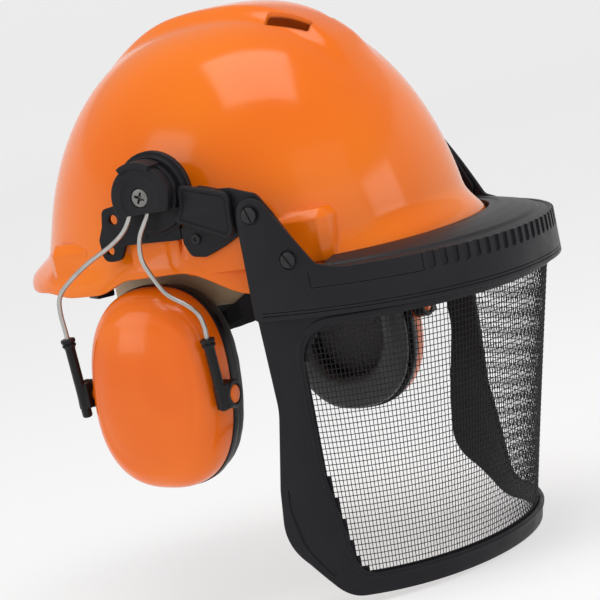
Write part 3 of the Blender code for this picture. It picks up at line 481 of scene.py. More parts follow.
def loft(bm, lines, wrap=True, first_cap=False, last_cap=False):
    """Faces between lines of points; wrap joins each line's last point to its first."""
    count = len(lines[0])
    for first, second in zip(lines, lines[1:]):
        for a in range(count if wrap else count - 1):
            b = (a + 1) % count
            bm.faces.new((first[a], first[b], second[b], second[a]))
    if first_cap:
        bm.faces.new(lines[0][::-1])
    if last_cap:
        bm.faces.new(lines[-1])


def grid_of_verts(bm, place, columns, rows):
    """Lines of points place(u, v), one line for each v."""
    return [[bm.verts.new(place(u, v)) for u in columns] for v in rows]


def face_outwards(bm):
    bmesh.ops.recalc_face_normals(bm, faces=bm.faces)
    if bm.calc_volume(signed=True) < 0:
        bmesh.ops.reverse_faces(bm, faces=bm.faces)


def solid_from(name, bm):
    """New object from a closed mesh in millimetres, its faces turned outwards."""
    face_outwards(bm)
    return object_from(name, bm)


def rod(name, start, end, radius, sides=40):
    start, end = Vector(start), Vector(end)
    along = end - start
    bm = bmesh.new()
    sizes = {"radius1": radius, "radius2": radius, "depth": along.length}
    bmesh.ops.create_cone(bm, cap_ends=True, segments=sides, **sizes)
    bm.transform(Matrix.Translation((start + end) / 2) @ along.to_track_quat("Z", "Y").to_matrix().to_4x4())
    return object_from(name, bm)


def tilted_box(name, low, high, place, degrees, edge=0.0):
    """Box turned about the X axis through its own origin, then moved to its place."""
    obj = box(name, low, high, edge, 2)
    turn = Matrix.Rotation(math.radians(degrees), 4, "X")
    obj.data.transform(Matrix.Translation(Vector(place) * MM) @ turn)
    return obj


def cross_rod(name, near_x, far_x, y, z, radius, sides):
    """Rod across the helmet."""
    return rod(name, (near_x, y, z), (far_x, y, z), radius, sides)


def turned(name, start, direction, profile, sides=48):
    """Solid of revolution: profile holds (distance along, radius) from its first end to its last."""
    turn = Vector(direction).normalized().to_track_quat("Z", "Y").to_matrix().to_4x4()
    bm = bmesh.new()
    rings = [[bm.verts.new((a, b, along)) for a, b in ring(0, 0, radius, sides)] for along, radius in profile]
    loft(bm, rings, first_cap=True, last_cap=True)
    bm.transform(Matrix.Translation(Vector(start)) @ turn)
    return solid_from(name, bm)


def on_turret(name, x, profile, sides):
    """Turned piece on the turret's axis, from one X value outwards."""
    return turned(name, (x, TURRET_Y, TURRET_Z), OUT, profile, sides)


def rounded(corners, steps=8):
    """Closed outline through corners (a, b, radius), each rounded by a curve close to an arc of that radius."""
    points = []
    for index, (a, b, radius) in enumerate(corners):
        here = Vector((a, b))
        if radius == 0:
            points.append(here)
            continue
        before = Vector(corners[index - 1][:2]) - here
        after = Vector(corners[(index + 1) % len(corners)][:2]) - here
        half = before.angle(after) / 2
        back = min(radius / math.tan(half), 0.49 * before.length, 0.49 * after.length)
        start = here + before.normalized() * back
        end = here + after.normalized() * back
        for share in spread(0, 1, steps + 1):
            points.append(start.lerp(here, share).lerp(here.lerp(end, share), share))
    return points


def arc(y, z, radius, angles):
    """Points of a circle at the given angles, in radians."""
    return [(y + radius * math.cos(angle), z + radius * math.sin(angle)) for angle in angles]


def ring(y, z, radius, steps=28):
    return arc(y, z, radius, [2 * math.pi * step / steps for step in range(steps)])


def outline_mesh(outlines, thickness):
    """Flat closed mesh in the XY plane from one outline and the outlines of its holes."""
    curve = bpy.data.curves.new("outline", "CURVE")
    curve.dimensions = "2D"
    curve.fill_mode = "BOTH"
    curve.extrude = thickness / 2
    for outline in outlines:
        spline = curve.splines.new("POLY")
        spline.points.add(len(outline) - 1)
        for point, place in zip(spline.points, outline):
            point.co = (place[0], place[1], 0, 1)
        spline.use_cyclic_u = True
    carrier = bpy.data.objects.new("outline", curve)
    SCENE.collection.objects.link(carrier)
    bpy.context.view_layer.update()
    bm = bmesh.new()
    bm.from_mesh(evaluated_mesh(carrier))
    bpy.data.objects.remove(carrier, do_unlink=True)
    bmesh.ops.remove_doubles(bm, verts=bm.verts, dist=0.001)
    bmesh.ops.dissolve_limit(bm, angle_limit=0.001, verts=bm.verts, edges=bm.edges)
    bmesh.ops.recalc_face_normals(bm, faces=bm.faces)
    return bm


def bend(name, bm, place, columns=(), rows=()):
    """Solid from a flat mesh: cut along the columns and rows, its points moved to place(u, h, depth)."""
    cuts = [((u, 0, 0), (1, 0, 0)) for u in columns] + [((0, h, 0), (0, 1, 0)) for h in rows]
    for spot, normal in cuts:
        geometry = list(bm.verts) + list(bm.edges) + list(bm.faces)
        bmesh.ops.bisect_plane(bm, geom=geometry, dist=0.0005, plane_co=spot, plane_no=normal)
    for vert in bm.verts:
        vert.co = place(*vert.co)
    return solid_from(name, bm)


def side_plate(name, outlines, near_x, far_x, edge=0.0, segments=2):
    """Flat piece parallel to the YZ plane between two X values; outlines hold (y, z)."""
    middle = (near_x + far_x) / 2
    flat = outline_mesh(outlines, abs(far_x - near_x))
    obj = bend(name, flat, lambda a, b, c: (middle + c, a, b))
    return bevel(obj, edge, segments) if edge else obj


def bent_plate(name, outlines, thickness, place, columns, rows=(), edge=0.0):
    """Flat piece, edges rounded, cut at the columns and rows and bent by place(u, h, depth)."""
    flat = object_from(name, outline_mesh(outlines, thickness))
    if edge:
        bevel(flat, edge, 2, 60)
    bm = bmesh.new()
    bm.from_mesh(flat.data)
    bm.transform(Matrix.Scale(1 / MM, 4))
    bpy.data.objects.remove(flat, do_unlink=True)
    return bend(name, bm, place, columns, rows)


def grid_sheet(name, place, columns, rows, wall, wrap=False):
    """Sheet through place(u, v) for the listed values of u and v; a negative wall lies behind its faces."""
    bm = bmesh.new()
    loft(bm, grid_of_verts(bm, place, columns, rows), wrap)
    bmesh.ops.remove_doubles(bm, verts=bm.verts, dist=0.005)
    bmesh.ops.recalc_face_normals(bm, faces=bm.faces)
    obj = object_from(name, bm)
    modifier = obj.modifiers.new("wall", "SOLIDIFY")
    modifier.thickness = abs(wall) * MM
    modifier.offset = math.copysign(1.0, wall)
    modifier.use_even_offset = True
    return bake(obj)


def spread(low, high, count):
    return [low + (high - low) * step / (count - 1) for step in range(count)]


def smooth_path(points, spacing):
    """Catmull-Rom curve through the points, sampled about every spacing."""
    points = [Vector(point) for point in points]
    ends = [2 * points[0] - points[1]] + points + [2 * points[-1] - points[-2]]
    path = []
    for a, b, c, d in zip(ends, ends[1:], ends[2:], ends[3:]):
        square, cube = 2 * a - 5 * b + 4 * c - d, 3 * b - a - 3 * c + d
        steps = max(1, round((c - b).length / spacing))
        for t in (step / steps for step in range(steps)):
            path.append(0.5 * (2 * b + (c - a) * t + square * t**2 + cube * t**3))
    return path + [points[-1]]


def add_tube(bm, path, radius, sides, reference=None):
    """Round tube along a path. Its seam keeps square to the reference, or else turns as little as it can."""
    rings = []
    side = None
    for index, spot in enumerate(path):
        tangent = (path[min(index + 1, len(path) - 1)] - path[max(index - 1, 0)]).normalized()
        if reference:
            side = tangent.cross(reference).normalized()
        else:
            side = side or tangent.orthogonal()
            side = (side - tangent * side.dot(tangent)).normalized()
        other = tangent.cross(side)
        rings.append([bm.verts.new(spot + (side * a + other * b) * radius) for a, b in ring(0, 0, 1, sides)])
    loft(bm, rings, first_cap=True, last_cap=True)


def show(obj, body, material, slot, *nodes, angle=35):
    """Gives a piece its material, shading and body, and hides the CAD nodes that it stands for. The slot
    argument is not used.
    """
    obj.data.materials.clear()
    obj.data.materials.append(material)
    for polygon in obj.data.polygons:
        polygon.material_index = 0
    obj.data.shade_smooth()
    obj.data.set_sharp_from_angle(angle=math.radians(angle))
    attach(obj, body)
    if nodes:
        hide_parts(*nodes)
    return obj


def show_both(obj, body, material, slot, *nodes, turn=0.0, angle=35):
    """Shows a right-hand piece and its mirror image; names of body and nodes end in _right."""
    mesh = obj.data.copy()
    centre = Matrix.Translation((0, TURRET_Y * MM, TURRET_Z * MM))
    about = centre @ Matrix.Rotation(math.radians(turn), 4, "X") @ centre.inverted()
    mesh.transform(about @ Matrix.Scale(-1, 4, (1, 0, 0)))
    mesh.flip_normals()
    copy = bpy.data.objects.new(obj.name.replace("_r", "_l"), mesh)
    SCENE.collection.objects.link(copy)
    left = [node.replace("_right", "_left") for node in nodes]
    show(obj, body, material, slot, *nodes, angle=angle)
    show(copy, body.replace("_right", "_left"), material, slot, *left, angle=angle)
    return obj, copy


def show_muff(obj, body, material, slot, *nodes, angle=35):
    """Shows a piece of the ear muffs, whose left one is turned forward about its turret."""
    return show_both(obj, body, material, slot, *nodes, turn=LEFT_MUFF_TURN, angle=angle)


class Plan:
    """U-shaped plan curve: a superellipse front with straight legs behind it, measured by arc length."""

    def __init__(self, side, reach, rear_y, power, steps=1440):
        self.rear_y = rear_y
        self.points = []
        for step in range(steps + 1):
            angle = math.pi * step / steps
            x = -side * signed_power(math.cos(angle), 2 / power)
            y = rear_y - reach * math.sin(angle) ** (2 / power)
            self.points.append(Vector((x, y)))
        self.length = [0.0]
        for a, b in zip(self.points, self.points[1:]):
            self.length.append(self.length[-1] + (b - a).length)
        self.total = self.length[-1]

    def at(self, u):
        """Point and outward direction at arc length u, which may run on along the straight legs."""
        if u <= 0:
            return self.points[0] + Vector((0, -u)), Vector((-1, 0))
        if u >= self.total:
            return self.points[-1] + Vector((0, u - self.total)), Vector((1, 0))
        high = bisect_right(self.length, u)
        start, end = self.points[high - 1], self.points[high]
        share = (u - self.length[high - 1]) / (self.length[high] - self.length[high - 1])
        tangent = (end - start).normalized()
        return start.lerp(end, share), Vector((tangent.y, -tangent.x))

    def u_at_y(self, y):
        """Arc length at which the right-hand half reaches y."""
        if y >= self.rear_y:
            return self.rear_y - y
        for length, point in zip(self.length, self.points):
            if point.y <= y:
                return length
        return self.total / 2


def both_sides(right, total):
    """Closed outline from its right half, in arc length and height, and the mirror of that half."""
    return [*right, *((total - u, h) for u, h in reversed(right))]


# ---- shell -------------------------------------------------------------------------------------


def rim_height(angle):
    y = math.sin(angle)
    rear = 17.0 * smoothstep(-0.34, -0.02, y) - 6.5 * smoothstep(0.18, 0.36, y)
    rear += 3.5 * smoothstep(0.5, 0.68, y) + 3.0 * smoothstep(0.75, 0.95, y)
    return -4.0 + rear + 9.0 * smoothstep(0.75, 1.0, -y)


def dome_plan(angle, rise):
    """Plain dome's x and y at a bearing and a share of its height, and the plan's own share along Y."""
    size = max(1 - rise**DOME_RISE_POWER, 0.0) ** (1 / DOME_SIZE_POWER)
    across = signed_power(math.cos(angle), 2 / DOME_PLAN_POWER)
    along = signed_power(math.sin(angle), 2 / DOME_PLAN_POWER)
    reach = SHELL_REAR if along > 0 else SHELL_FRONT
    return SHELL_SIDE * across * size, reach * along * size, along


def shell_point(u, v):
    """Shell's outer skin: round with u, and from the rim to the crown with v."""
    angle = 2 * math.pi * u
    rise = math.sin(v * math.pi / 2)
    x, y, along = dome_plan(angle, rise)
    z = SHELL_HEIGHT * rise
    back, front = smoothstep(0.2, 0.95, along), smoothstep(0.2, 0.95, -along)
    flare = (2.5 + 9.5 * back + 6.5 * front) * (1 - smoothstep(2, 26, z)) ** 1.5
    x += flare * math.cos(angle)
    y += flare * math.sin(angle)
    z += rim_height(angle) * (1 - smoothstep(0, 45, z))
    ridge = 1 - smoothstep(13, 25, abs(x))
    ridge *= smoothstep(-92, -76, y) * (1 - smoothstep(25, 95, y))
    z += RIDGE_HEIGHT * ridge * smoothstep(0.6, 0.8, rise)
    return (x, y, z)


def inside_shell(angle, z, margin):
    """Point at a bearing and a height, a margin inside the plain dome."""
    x, y, _ = dome_plan(angle, z / SHELL_HEIGHT)
    return Vector((x, y, z)) - margin * Vector((math.cos(angle), math.sin(angle), 0))


def block(name, side, corners, low, high, chamfer):
    """Block on the shell's side from its plan corners (x, y, top shift in x, top shift in y)."""
    bm = bmesh.new()
    for x, y, shift_x, shift_y in corners:
        bm.verts.new((side * x, y, low))
        bm.verts.new((side * x, y, high - chamfer))
        bm.verts.new((side * (x + shift_x), y + shift_y, high))
    bmesh.ops.convex_hull(bm, input=bm.verts)
    bmesh.ops.dissolve_limit(bm, angle_limit=0.01, verts=bm.verts, edges=bm.edges)
    return bevel(solid_from(name, bm), 1.2, 4, 15)


def shell_blocks(side):
    """The two slot pads and the front and rear clip blocks of one side."""
    rear_pad = [(105.8, -8, -3, 0), (105.8, 24, -3, -3), (95.8, 24, 0, -3), (97.0, -8, 0, 0)]
    front_pad = [(105.8, -49, -3, 3), (105.8, -10, -3, 0), (97.0, -10, 0, 0), (90.0, -49, 0, 3)]
    front_clip = [
        (93.5, -56, -4.5, 0), (88.5, -85.5, -4.5, 0), (84.0, -90, -3, 3), (68.0, -90, 0, 3),
        (88.0, -56, 0, 0),
    ]
    rear_clip = [
        (93.5, 61, -4.5, 0), (89.5, 86.5, -4.5, 0), (85.5, 91, -3, -3), (70.0, 91, 0, -3), (88.0, 61, 0, 0),
    ]
    return [
        block("slot_pad_rear", side, rear_pad, 14.0, 45.0, 3.0),
        block("slot_pad_front", side, front_pad, 10.0, 45.0, 3.0),
        block("front_clip_block", side, front_clip, 6.5, 35.0, 5.0),
        block("rear_clip_block", side, rear_clip, 14.0, 36.0, 5.0),
    ]


def dome_core(inset, columns, rows):
    """Closed fill of the dome, an inset inside its outer surface, which trims the blocks to the wall."""
    bm = bmesh.new()
    rings = []
    for row in range(-1, rows):
        v = max(row, 0) / rows
        rise = math.sin(v * math.pi / 2)
        rings.append([])
        for u in (column / columns for column in range(columns)):
            angle = 2 * math.pi * u
            inward = Vector(((1 - rise) * math.cos(angle), (1 - rise) * math.sin(angle), rise)) * inset
            point = Vector(shell_point(u, v)) - inward
            rings[-1].append(bm.verts.new(point if row >= 0 else (point.x, point.y, CORE_FLOOR)))
    loft(bm, rings)
    top = bm.verts.new(Vector(shell_point(0, 1)) - Vector((0, 0, inset)))
    for i in range(columns):
        bm.faces.new((rings[-1][i], rings[-1][(i + 1) % columns], top))
    bm.faces.new(rings[0])
    bmesh.ops.recalc_face_normals(bm, faces=bm.faces)
    return object_from("core", bm)


def make_shell():
    columns = spread(0, 1, 241)[:-1]
    rows = spread(0, 0.30, 24)[:-1] + spread(0.30, 1, 62)
    shell = grid_sheet("dome", shell_point, columns, rows, -SHELL_WALL, wrap=True)
    for side in (-1, 1):
        for solid in shell_blocks(side):
            cut(solid, dome_core(1.2, 120, 40))
            join(shell, solid)
    for side in (-1, 1):
        vent = [(side * x, y, 1.8) for x, y in ((10.5, -66), (19, -66), (25, -42), (17, -42))]
        bm = outline_mesh([rounded(vent, 5)], 40)
        bm.transform(Matrix.Translation((0, 0, 137)))
        cut(shell, solid_from("vent", bm))
        inner, outer = sorted((side * 90, side * 108))
        for front, back in ((-6.5, 14.5), (-44.5, -29.5)):
            cut(shell, box("slot", (inner, front, SLOT_LOW - 0.5), (outer, back, SLOT_HIGH + 0.5)))
    show(shell, "helmet", ORANGE, "shell_orange", "shell", angle=32)


# ---- suspension --------------------------------------------------------------------------------


def headband_low(angle):
    return -12.0 - 20.0 * smoothstep(0.3, 1.0, -math.sin(angle))


def band(name, low, high, reach, bearings, steps, wall, rows, relief):
    """Upright strip round the head between two bearings, its skin moved out by relief(angle, v)."""
    start, end = bearings
    half_width, half_length = reach

    def place(u, v):
        angle = math.radians(start + (end - start) * u)
        z = low(angle) + (high(angle) - low(angle)) * v
        out = relief(angle, v)
        return ((half_width + out) * math.cos(angle), (half_length + out) * math.sin(angle), z)

    closed = end - start >= 360
    columns = spread(0, 1, steps + 1)[: -1 if closed else None]
    return grid_sheet(name, place, columns, spread(0, 1, rows), wall, wrap=closed)


def make_headband():
    def high(angle):
        return headband_low(angle) + 28

    def rolled_edges(_, v):
        return -0.5 * (abs(2 * v - 1) ** 6)

    headband = band("head_ring", headband_low, high, (74.5, 97.0), (0, 360), 180, -1.8, 9, rolled_edges)
    bevel(headband, 0.5, 2, 50)
    show(headband, "helmet", KHAKI_BAND, "band_plastic", "headband")


def make_sweatband():
    def low(angle):
        return headband_low(angle) - 1.5

    def high(angle):
        return headband_low(angle) + 25.5

    def quilting(angle, v):
        puff = (1 - abs(2 * v - 1) ** 4) * (0.35 + 0.2 * math.sin(angle * 40))
        return -0.4 + puff * 0.3

    sweat = band("brow_pad", low, high, (72.2, 94.6), (205, 335), 120, -3.0, 15, quilting)
    bevel(sweat, 1.0, 3, 50)
    show(sweat, "helmet", SWEAT_CLOTH, "sweat_pad", "sweatband")


def make_nape_band():
    def low(angle):
        return -18.0 - 28.0 * smoothstep(-0.45, 0.8, math.sin(angle))

    def high(angle):
        return 4.0 - 20.0 * smoothstep(-0.5, -0.02, math.sin(angle))

    def ribs(angle, v):
        return 0.35 * max(0.0, math.sin(angle * 70)) * (1 - abs(2 * v - 1) ** 8) - 0.35

    nape = band("nape_strip", low, high, (77.2, 100.4), (-28, 208), 420, -2.0, 9, ribs)
    show(nape, "nape", BAND_BLACK, "black_plastic", "nape_band", angle=50)


def knob_rod(name, near_y, far_y, radius, sides=32):
    return rod(name, (0, near_y, KNOB_Z), (0, far_y, KNOB_Z), radius, sides)


def make_nape_adjuster():
    housing = box("adjuster_case", (-26, 100.9, KNOB_Z - 12), (26, 108.5, KNOB_Z + 12), 2.5, 4)
    cut(housing, knob_rod("bore", 95, 115, 3.6), box("groove", (-22, 107.9, -41), (22, 112, -23)))
    join(housing, knob_rod("plateau", 90, 108.5, 13.6, 48))
    cut(housing, knob_rod("bore", 95, 115, 3.6))
    bevel(housing, 0.3, 2, 45)
    show(housing, "nape", HUB_BLACK, "black_plastic", "ratchet_housing")
    teeth = []
    for turn in (2 * math.pi * step / 180 for step in range(180)):
        radius = 12.2 + 0.75 * math.cos(20 * turn)
        teeth.append((radius * math.cos(turn), KNOB_Z + radius * math.sin(turn)))
    knob = bend("adjuster_knob", outline_mesh([teeth], 10.0), lambda a, b, c: (a, 114.0 - c, b))
    bevel(knob, 0.8, 3, 60)
    cut(knob, turned("dish", (0, 117.6, KNOB_Z), (0, 1, 0), [(0, 6.0), (0.9, 8.6), (3, 9.4)], 48))
    join(knob, knob_rod("axle", 101.4, 112, 3.2))
    show(knob, "knob", HUB_BLACK, "black_plastic", "ratchet_knob")


def make_crown_straps():
    for index, bearing in enumerate((90.0, 30.0, 150.0)):
        direction = Vector((math.cos(math.radians(bearing)), math.sin(math.radians(bearing)), 0))
        sideways = Vector((-direction.y, direction.x, 0))
        top = 108.0 + 2.6 * index
        ends = [inside_shell(math.atan2(s * direction.y, s * direction.x), STRAP_LOW, 15.5) for s in (-1, 1)]
        reach = [end.to_2d().length for end in ends]

        def place(u, v, direction=direction, sideways=sideways, top=top, reach=reach):
            turn = math.pi * u
            half = reach[0] if u < 0.5 else reach[1]
            spot = -direction * half * signed_power(math.cos(turn), 0.9)
            height = STRAP_LOW + (top - STRAP_LOW) * math.sin(turn) ** 0.8
            return spot + sideways * (v - 0.5) * STRAP_WIDTH + Vector((0, 0, height))

        strap = grid_sheet(f"web_strap_{index + 1}", place, spread(0, 1, 97), spread(0, 1, 9), 1.3)
        bevel(strap, 0.35, 2, 50)
        show(strap, "helmet", KHAKI_WEB, "webbing", f"crown_strap_{index + 1}")


def make_strap_keys():
    for index in range(6):
        base = inside_shell(math.radians(30 + 60 * index), 12, 10.5)
        turn = Matrix.Rotation(math.atan2(base.y, base.x), 4, "Z")
        key = box(f"strap_key_{index + 1}", (-5.4, -8, -9), (5.4, 8, 8.6), 1.2, 3)
        cut(key, box("strap_eye", (-9, -5.5, 1.5), (-3.6, 5.5, 4.0)))
        cut(key, box("lower_groove", (-9, -5.5, -5.5), (-4.4, 5.5, -2.0)))
        bevel(key, 0.3, 2, 50)
        key.data.transform(Matrix.Translation(base * MM) @ turn)
        show(key, "helmet", HUB_BLACK, "black_plastic", f"suspension_key_{index + 1}")


# ---- adapters and turret -----------------------------------------------------------------------


def make_muff_base():
    plate_outline = rounded([
        (-13, 31.5, 2), (24, 33, 2), (28.5, 25, 5), (39.5, 25, 6), (40, 38, 3), (36.5, 45, 2),
        (34.5, 54.5, 4), (23, 56, 3), (18, 66, 3), (-13, 66, 3),
    ])
    holes = [ring(28.5, 48.0, 2.9), ring(34.2, 31.3, 2.7)]
    seat = [
        (0, 23.0), (0.4, 23.4), (3.3, 23.4), (3.8, 22.9), (3.8, 21.6), (4.4, 21.2), (5.8, 21.2), (6.4, 20.7),
    ]
    base = side_plate("base_plate_r", [plate_outline, *holes], PLATE_X, -109.4, 0.5)
    join(base, on_turret("seat", PLATE_X, seat, 72))
    join(base, box("tongue", (-108.0, -6, SLOT_LOW), (-98.5, 14, SLOT_HIGH), 0.5))
    for y in (-4.0, 9.0):
        join(base, box("rib", (-110.0, y - 0.45, 34.5), (-108.5, y + 0.45, 41.0), 0.3, 2))
    cut(base, cross_rod("bore", -95, -115, TURRET_Y, TURRET_Z, 3.0, 32))
    show_both(base, "helmet", HUB_BLACK, "black_plastic", "muff_base_right")


def make_visor_bracket():
    outline = rounded([
        (-27.5, 60, 3), (-51, 53, 5), (-51, 30, 3), (-45, 27.5, 2), (-38, 24.3, 3), (-26, 20.3, 4),
        (-17, 21.5, 5), (-13.7, 29, 3), (-13.4, 37.5, 2), (-19.5, 42, 2), (-26, 48, 3),
    ])
    y, z = BRACKET_SCREW
    bracket = side_plate("bracket_plate_r", [outline], PLATE_X, -109.6, 0.5)
    join(
        bracket,
        cross_rod("pin", -109.0, -112.9, PIVOT_Y, PIVOT_Z, 3.4, 32),
        box("tongue", (-108.0, -44, SLOT_LOW), (-97.0, -30, SLOT_HIGH), 0.5),
        box("nib", (-109.9, -46.2, 29.5), (-107, -42.4, 33.0), 0.5),
    )
    cut(bracket, cross_rod("bore", -104, -112, y, z, 1.7, 24))
    show_both(bracket, "helmet", HUB_BLACK, "black_plastic", "visor_bracket_right")
    head = [(0, 1.3), (3.4, 1.3), (3.45, 2.5), (3.7, 2.8), (4.4, 2.5), (4.7, 1.9)]
    screw = turned("bracket_bolt_r", (-106.5, y, z), OUT, head, 36)
    cut(screw, cross_rod("socket", -110.2, -112, y, z, 1.5, 6))
    show_both(screw, "helmet", BLACK_STEEL, "black_screw", "bracket_screw_right", angle=30)


def make_visor_cover():
    outer = [
        (-20.6, 62.5, 4), (-52, 54, 6), (-50.8, 41, 3), (-50.7, 33, 3), (-46.5, 29, 3), (-14.7, 42.8, 3),
        (-20.3, 50, 3),
    ]
    inner = [
        (-22.6, 60.2, 3), (-50.2, 52.6, 4), (-49.0, 40.5, 3), (-48.9, 33.8, 2), (-46.1, 31.2, 2),
        (-18.2, 43.2, 2), (-22.3, 50, 2),
    ]
    panel = [
        (-23.5, 59.0, 2.5), (-49.3, 51.9, 3.5), (-48.1, 40.5, 3), (-48.0, 34.4, 2), (-46.0, 32.3, 2),
        (-20.2, 43.5, 2), (-23.2, 50, 2),
    ]
    cover = side_plate("pivot_cover_r", [rounded(outer)], -113.3, -117.6, 1.3, 4)
    cut(cover, side_plate("recess", [rounded(inner)], -116.9, -120.0))
    join(cover, side_plate("panel", [rounded(panel)], -115.5, -117.3, 0.35))
    bevel(cover, 0.15, 2, 50)
    show_both(cover, "helmet", HUB_BLACK, "frame_plastic", "visor_cover_right", angle=30)


def turret_arc(radius, low, high, count):
    return arc(TURRET_Y, TURRET_Z, radius, [math.radians(degrees) for degrees in spread(low, high, count)])


def hub_disc(name, grow, near_x, far_x, edge=0.0, segments=2):
    """Layer of the turret: a disc cut straight across its lower side."""
    return side_plate(name, [turret_arc(HUB_RADIUS + grow, -30, 210, 57)], near_x, far_x, edge, segments)


def make_hub():
    hood = turret_arc(HUB_RADIUS + 2.0, 60, 124, 33) + turret_arc(HUB_RADIUS - 1.5, 124, 60, 33)
    hub = hub_disc("turret_r", 0.0, -118.2, -125.0, 0.9, 3)
    join(
        hub,
        hub_disc("skirt", -0.7, -116.6, -119.4),
        hub_disc("lower", 0.5, -113.1, -117.2, 0.4),
        side_plate("hood", [hood], -114.5, -127.0, 0.8, 3),
    )
    cut(
        hub,
        on_turret("bore", -110, [(0, 2.9), (20, 2.9)], 32),
        on_turret("recess", -121.5, [(0, 6.2), (2.6, 6.4), (4.5, 8.2), (9, 12)], 56),
        on_turret("dish", -124.75, [(0, 11.6), (0.1, 11.8), (6, 12)], 64),
    )
    join(hub, on_turret("washer", -121.0, [(0, 6.35), (0.9, 6.35), (0.9, 6.0)], 48))
    cut(hub, on_turret("bore", -110, [(0, 5.5), (20, 5.5)], 32))
    for y, z in ((9.8, 50.5), (-1.2, 50.5)):
        cut(
            hub,
            rod("wire_way", (-119, y, z + 3.2), (-119, y + 0.4, z - 6), 1.85, 20),
            box("wire_room", (-121.2, y - 1.9, 49.0), (-114.9, y + 2.2, 56.8), 0.3, 2),
        )
    show_muff(hub, "turret_right", HUB_BLACK, "black_plastic", "hub_right", angle=30)


def make_hub_screw():
    head = [(0, 2.5), (15.0, 2.5), (15.0, 5.2), (16.2, 5.4), (16.9, 4.9), (17.1, 4.2)]
    screw = on_turret("turret_bolt_r", -107.5, head, 56)
    for turn in (25, 115):
        place = (-124.6, TURRET_Y, TURRET_Z)
        cut(screw, tilted_box("slot", (-2.4, -0.65, -3.3), (2.4, 0.65, 3.3), place, turn, 0.3))
    cut(screw, on_turret("cone", -123.4, [(0, 0.9), (1.8, 2.2)], 24))
    show_muff(screw, "helmet", SCREW_STEEL, "screw_steel", "hub_screw_right", angle=30)


# ---- wires and sleeves -------------------------------------------------------------------------


def make_wires():
    rear_end = REAR_SLEEVE_TOP + SLEEVE_DIRECTION * 40
    front_end = FRONT_SLEEVE_TOP + SLEEVE_DIRECTION * 34
    legs = {
        "rear": [
            (-119, 9.8, 54.5), (-119, 10.6, 50), (-119.5, 16.2, 42), (-120, 26.5, 35), (-120, 43, 27.5),
            (-119.5, 57, 19.5), (-118.8, 66.5, 12), (-118.2, 69.6, 3), REAR_SLEEVE_TOP, rear_end,
        ],
        "front": [
            (-119, -1.2, 54.5), (-119, -0.6, 49), (-119.5, 6.5, 38), (-120, 8.4, 28), (-120, 6.5, 20),
            (-119.6, -2.2, 5), (-118.8, -12.5, -2.5), (-118.2, -18.6, -8.5), (-117.4, -20.6, -16),
            FRONT_SLEEVE_TOP, front_end,
        ],
    }
    for name, points in legs.items():
        bm = bmesh.new()
        add_tube(bm, smooth_path(points, 1.5), WIRE_RADIUS, 20)
        leg = solid_from(f"leg_{name}_r", bm)
        show_muff(leg, "arms_right", WIRE_STEEL, "spring_steel", f"wire_{name}_right", angle=60)


def tilt_axis_point(y):
    """Point of the cup's tilt axis at a given y."""
    centre = Vector((-TRUNNION_X, CUP_Y, CUP_Z - TRUNNION_DROP))
    return centre + Vector((0, y - CUP_Y, (y - CUP_Y) * math.tan(CUP_LEAN)))


def make_sleeve(name, top, length, lug_near, lug_far):
    bottom = top + SLEEVE_DIRECTION * length
    near, far = tilt_axis_point(lug_near), tilt_axis_point(lug_far)
    middle = (lug_near + lug_far) / 2
    pin = tilt_axis_point(middle)
    beside = top.lerp(bottom, (pin.z - top.z) / (bottom.z - top.z))
    r = SLEEVE_RADIUS
    profile = [
        (-0.5, 3.3), (-0.2, 4.1), (1.0, 4.2), (1.7, 3.9), (1.9, 3.3), (2.4, 3.3), (2.6, 3.9), (3.6, 4.0),
        (4.3, 3.4), (5.5, r), (length - 1.2, r), (length - 0.3, r - 0.5), (length, r - 1.2),
    ]
    width = lug_far - lug_near
    lug = [(0, 7.4), (0.5, 8.0), (width - 0.5, 8.0), (width, 7.4)]
    low, high = (beside.x - 1.5, lug_near, pin.z - 7.0), (pin.x - 2.0, lug_far, pin.z + 7.0)
    sleeve = turned(f"sleeve_{name}_r", top, SLEEVE_DIRECTION, profile, 36)
    join(sleeve, turned("eye", near, far - near, lug, 48), box("web", low, high, 0.6))
    cut(
        sleeve,
        rod("bore", top - SLEEVE_DIRECTION * 3, bottom - SLEEVE_DIRECTION * 2.5, 1.75, 24),
        rod("eye_bore", tilt_axis_point(middle - 12), tilt_axis_point(middle + 12), 5.7, 40),
    )
    show_muff(sleeve, "fork_right", SMOOTH_BLACK, "frame_plastic", f"sleeve_{name}_right")


# ---- ear cup -----------------------------------------------------------------------------------


def cup_spot(p, q, x):
    """Point from its place across and up the leaning cup."""
    y = CUP_Y + p * math.cos(CUP_LEAN) - q * math.sin(CUP_LEAN)
    z = CUP_Z + p * math.sin(CUP_LEAN) + q * math.cos(CUP_LEAN)
    return Vector((x, y, z))


def cup_oval(angle, half_width, half_height):
    p = half_width * signed_power(math.cos(angle), 2 / CUP_POWER)
    return p, half_height * signed_power(math.sin(angle), 2 / CUP_POWER)


def cup_outline(scale, grow=0.0, steps=96):
    half_width, half_height = CUP_HALF_WIDTH * scale + grow, CUP_HALF_HEIGHT * scale + grow
    turns = (2 * math.pi * step / steps for step in range(steps))
    spots = [cup_spot(*cup_oval(turn, half_width, half_height), 0) for turn in turns]
    return [(spot.y, spot.z) for spot in spots]


def cup_point(u, v, shrink=0.0, back=0.0):
    """Cup's skin: round with u, and from the rim to the middle with v; a shallow step runs round its face."""
    depth = math.sin(v * math.pi / 2)
    scale = max(1 - depth**2.8, 0.0) ** (1 / 2.4)
    half_width, half_height = (CUP_HALF_WIDTH - shrink) * scale, (CUP_HALF_HEIGHT - shrink) * scale
    step_in = 0.0 if shrink else 0.9 * smoothstep(0.82, 0.70, scale)
    x = -CUP_BASE + back - (CUP_DEPTH - 0.3 * shrink) * depth + step_in
    return cup_spot(*cup_oval(2 * math.pi * u, half_width, half_height), x)


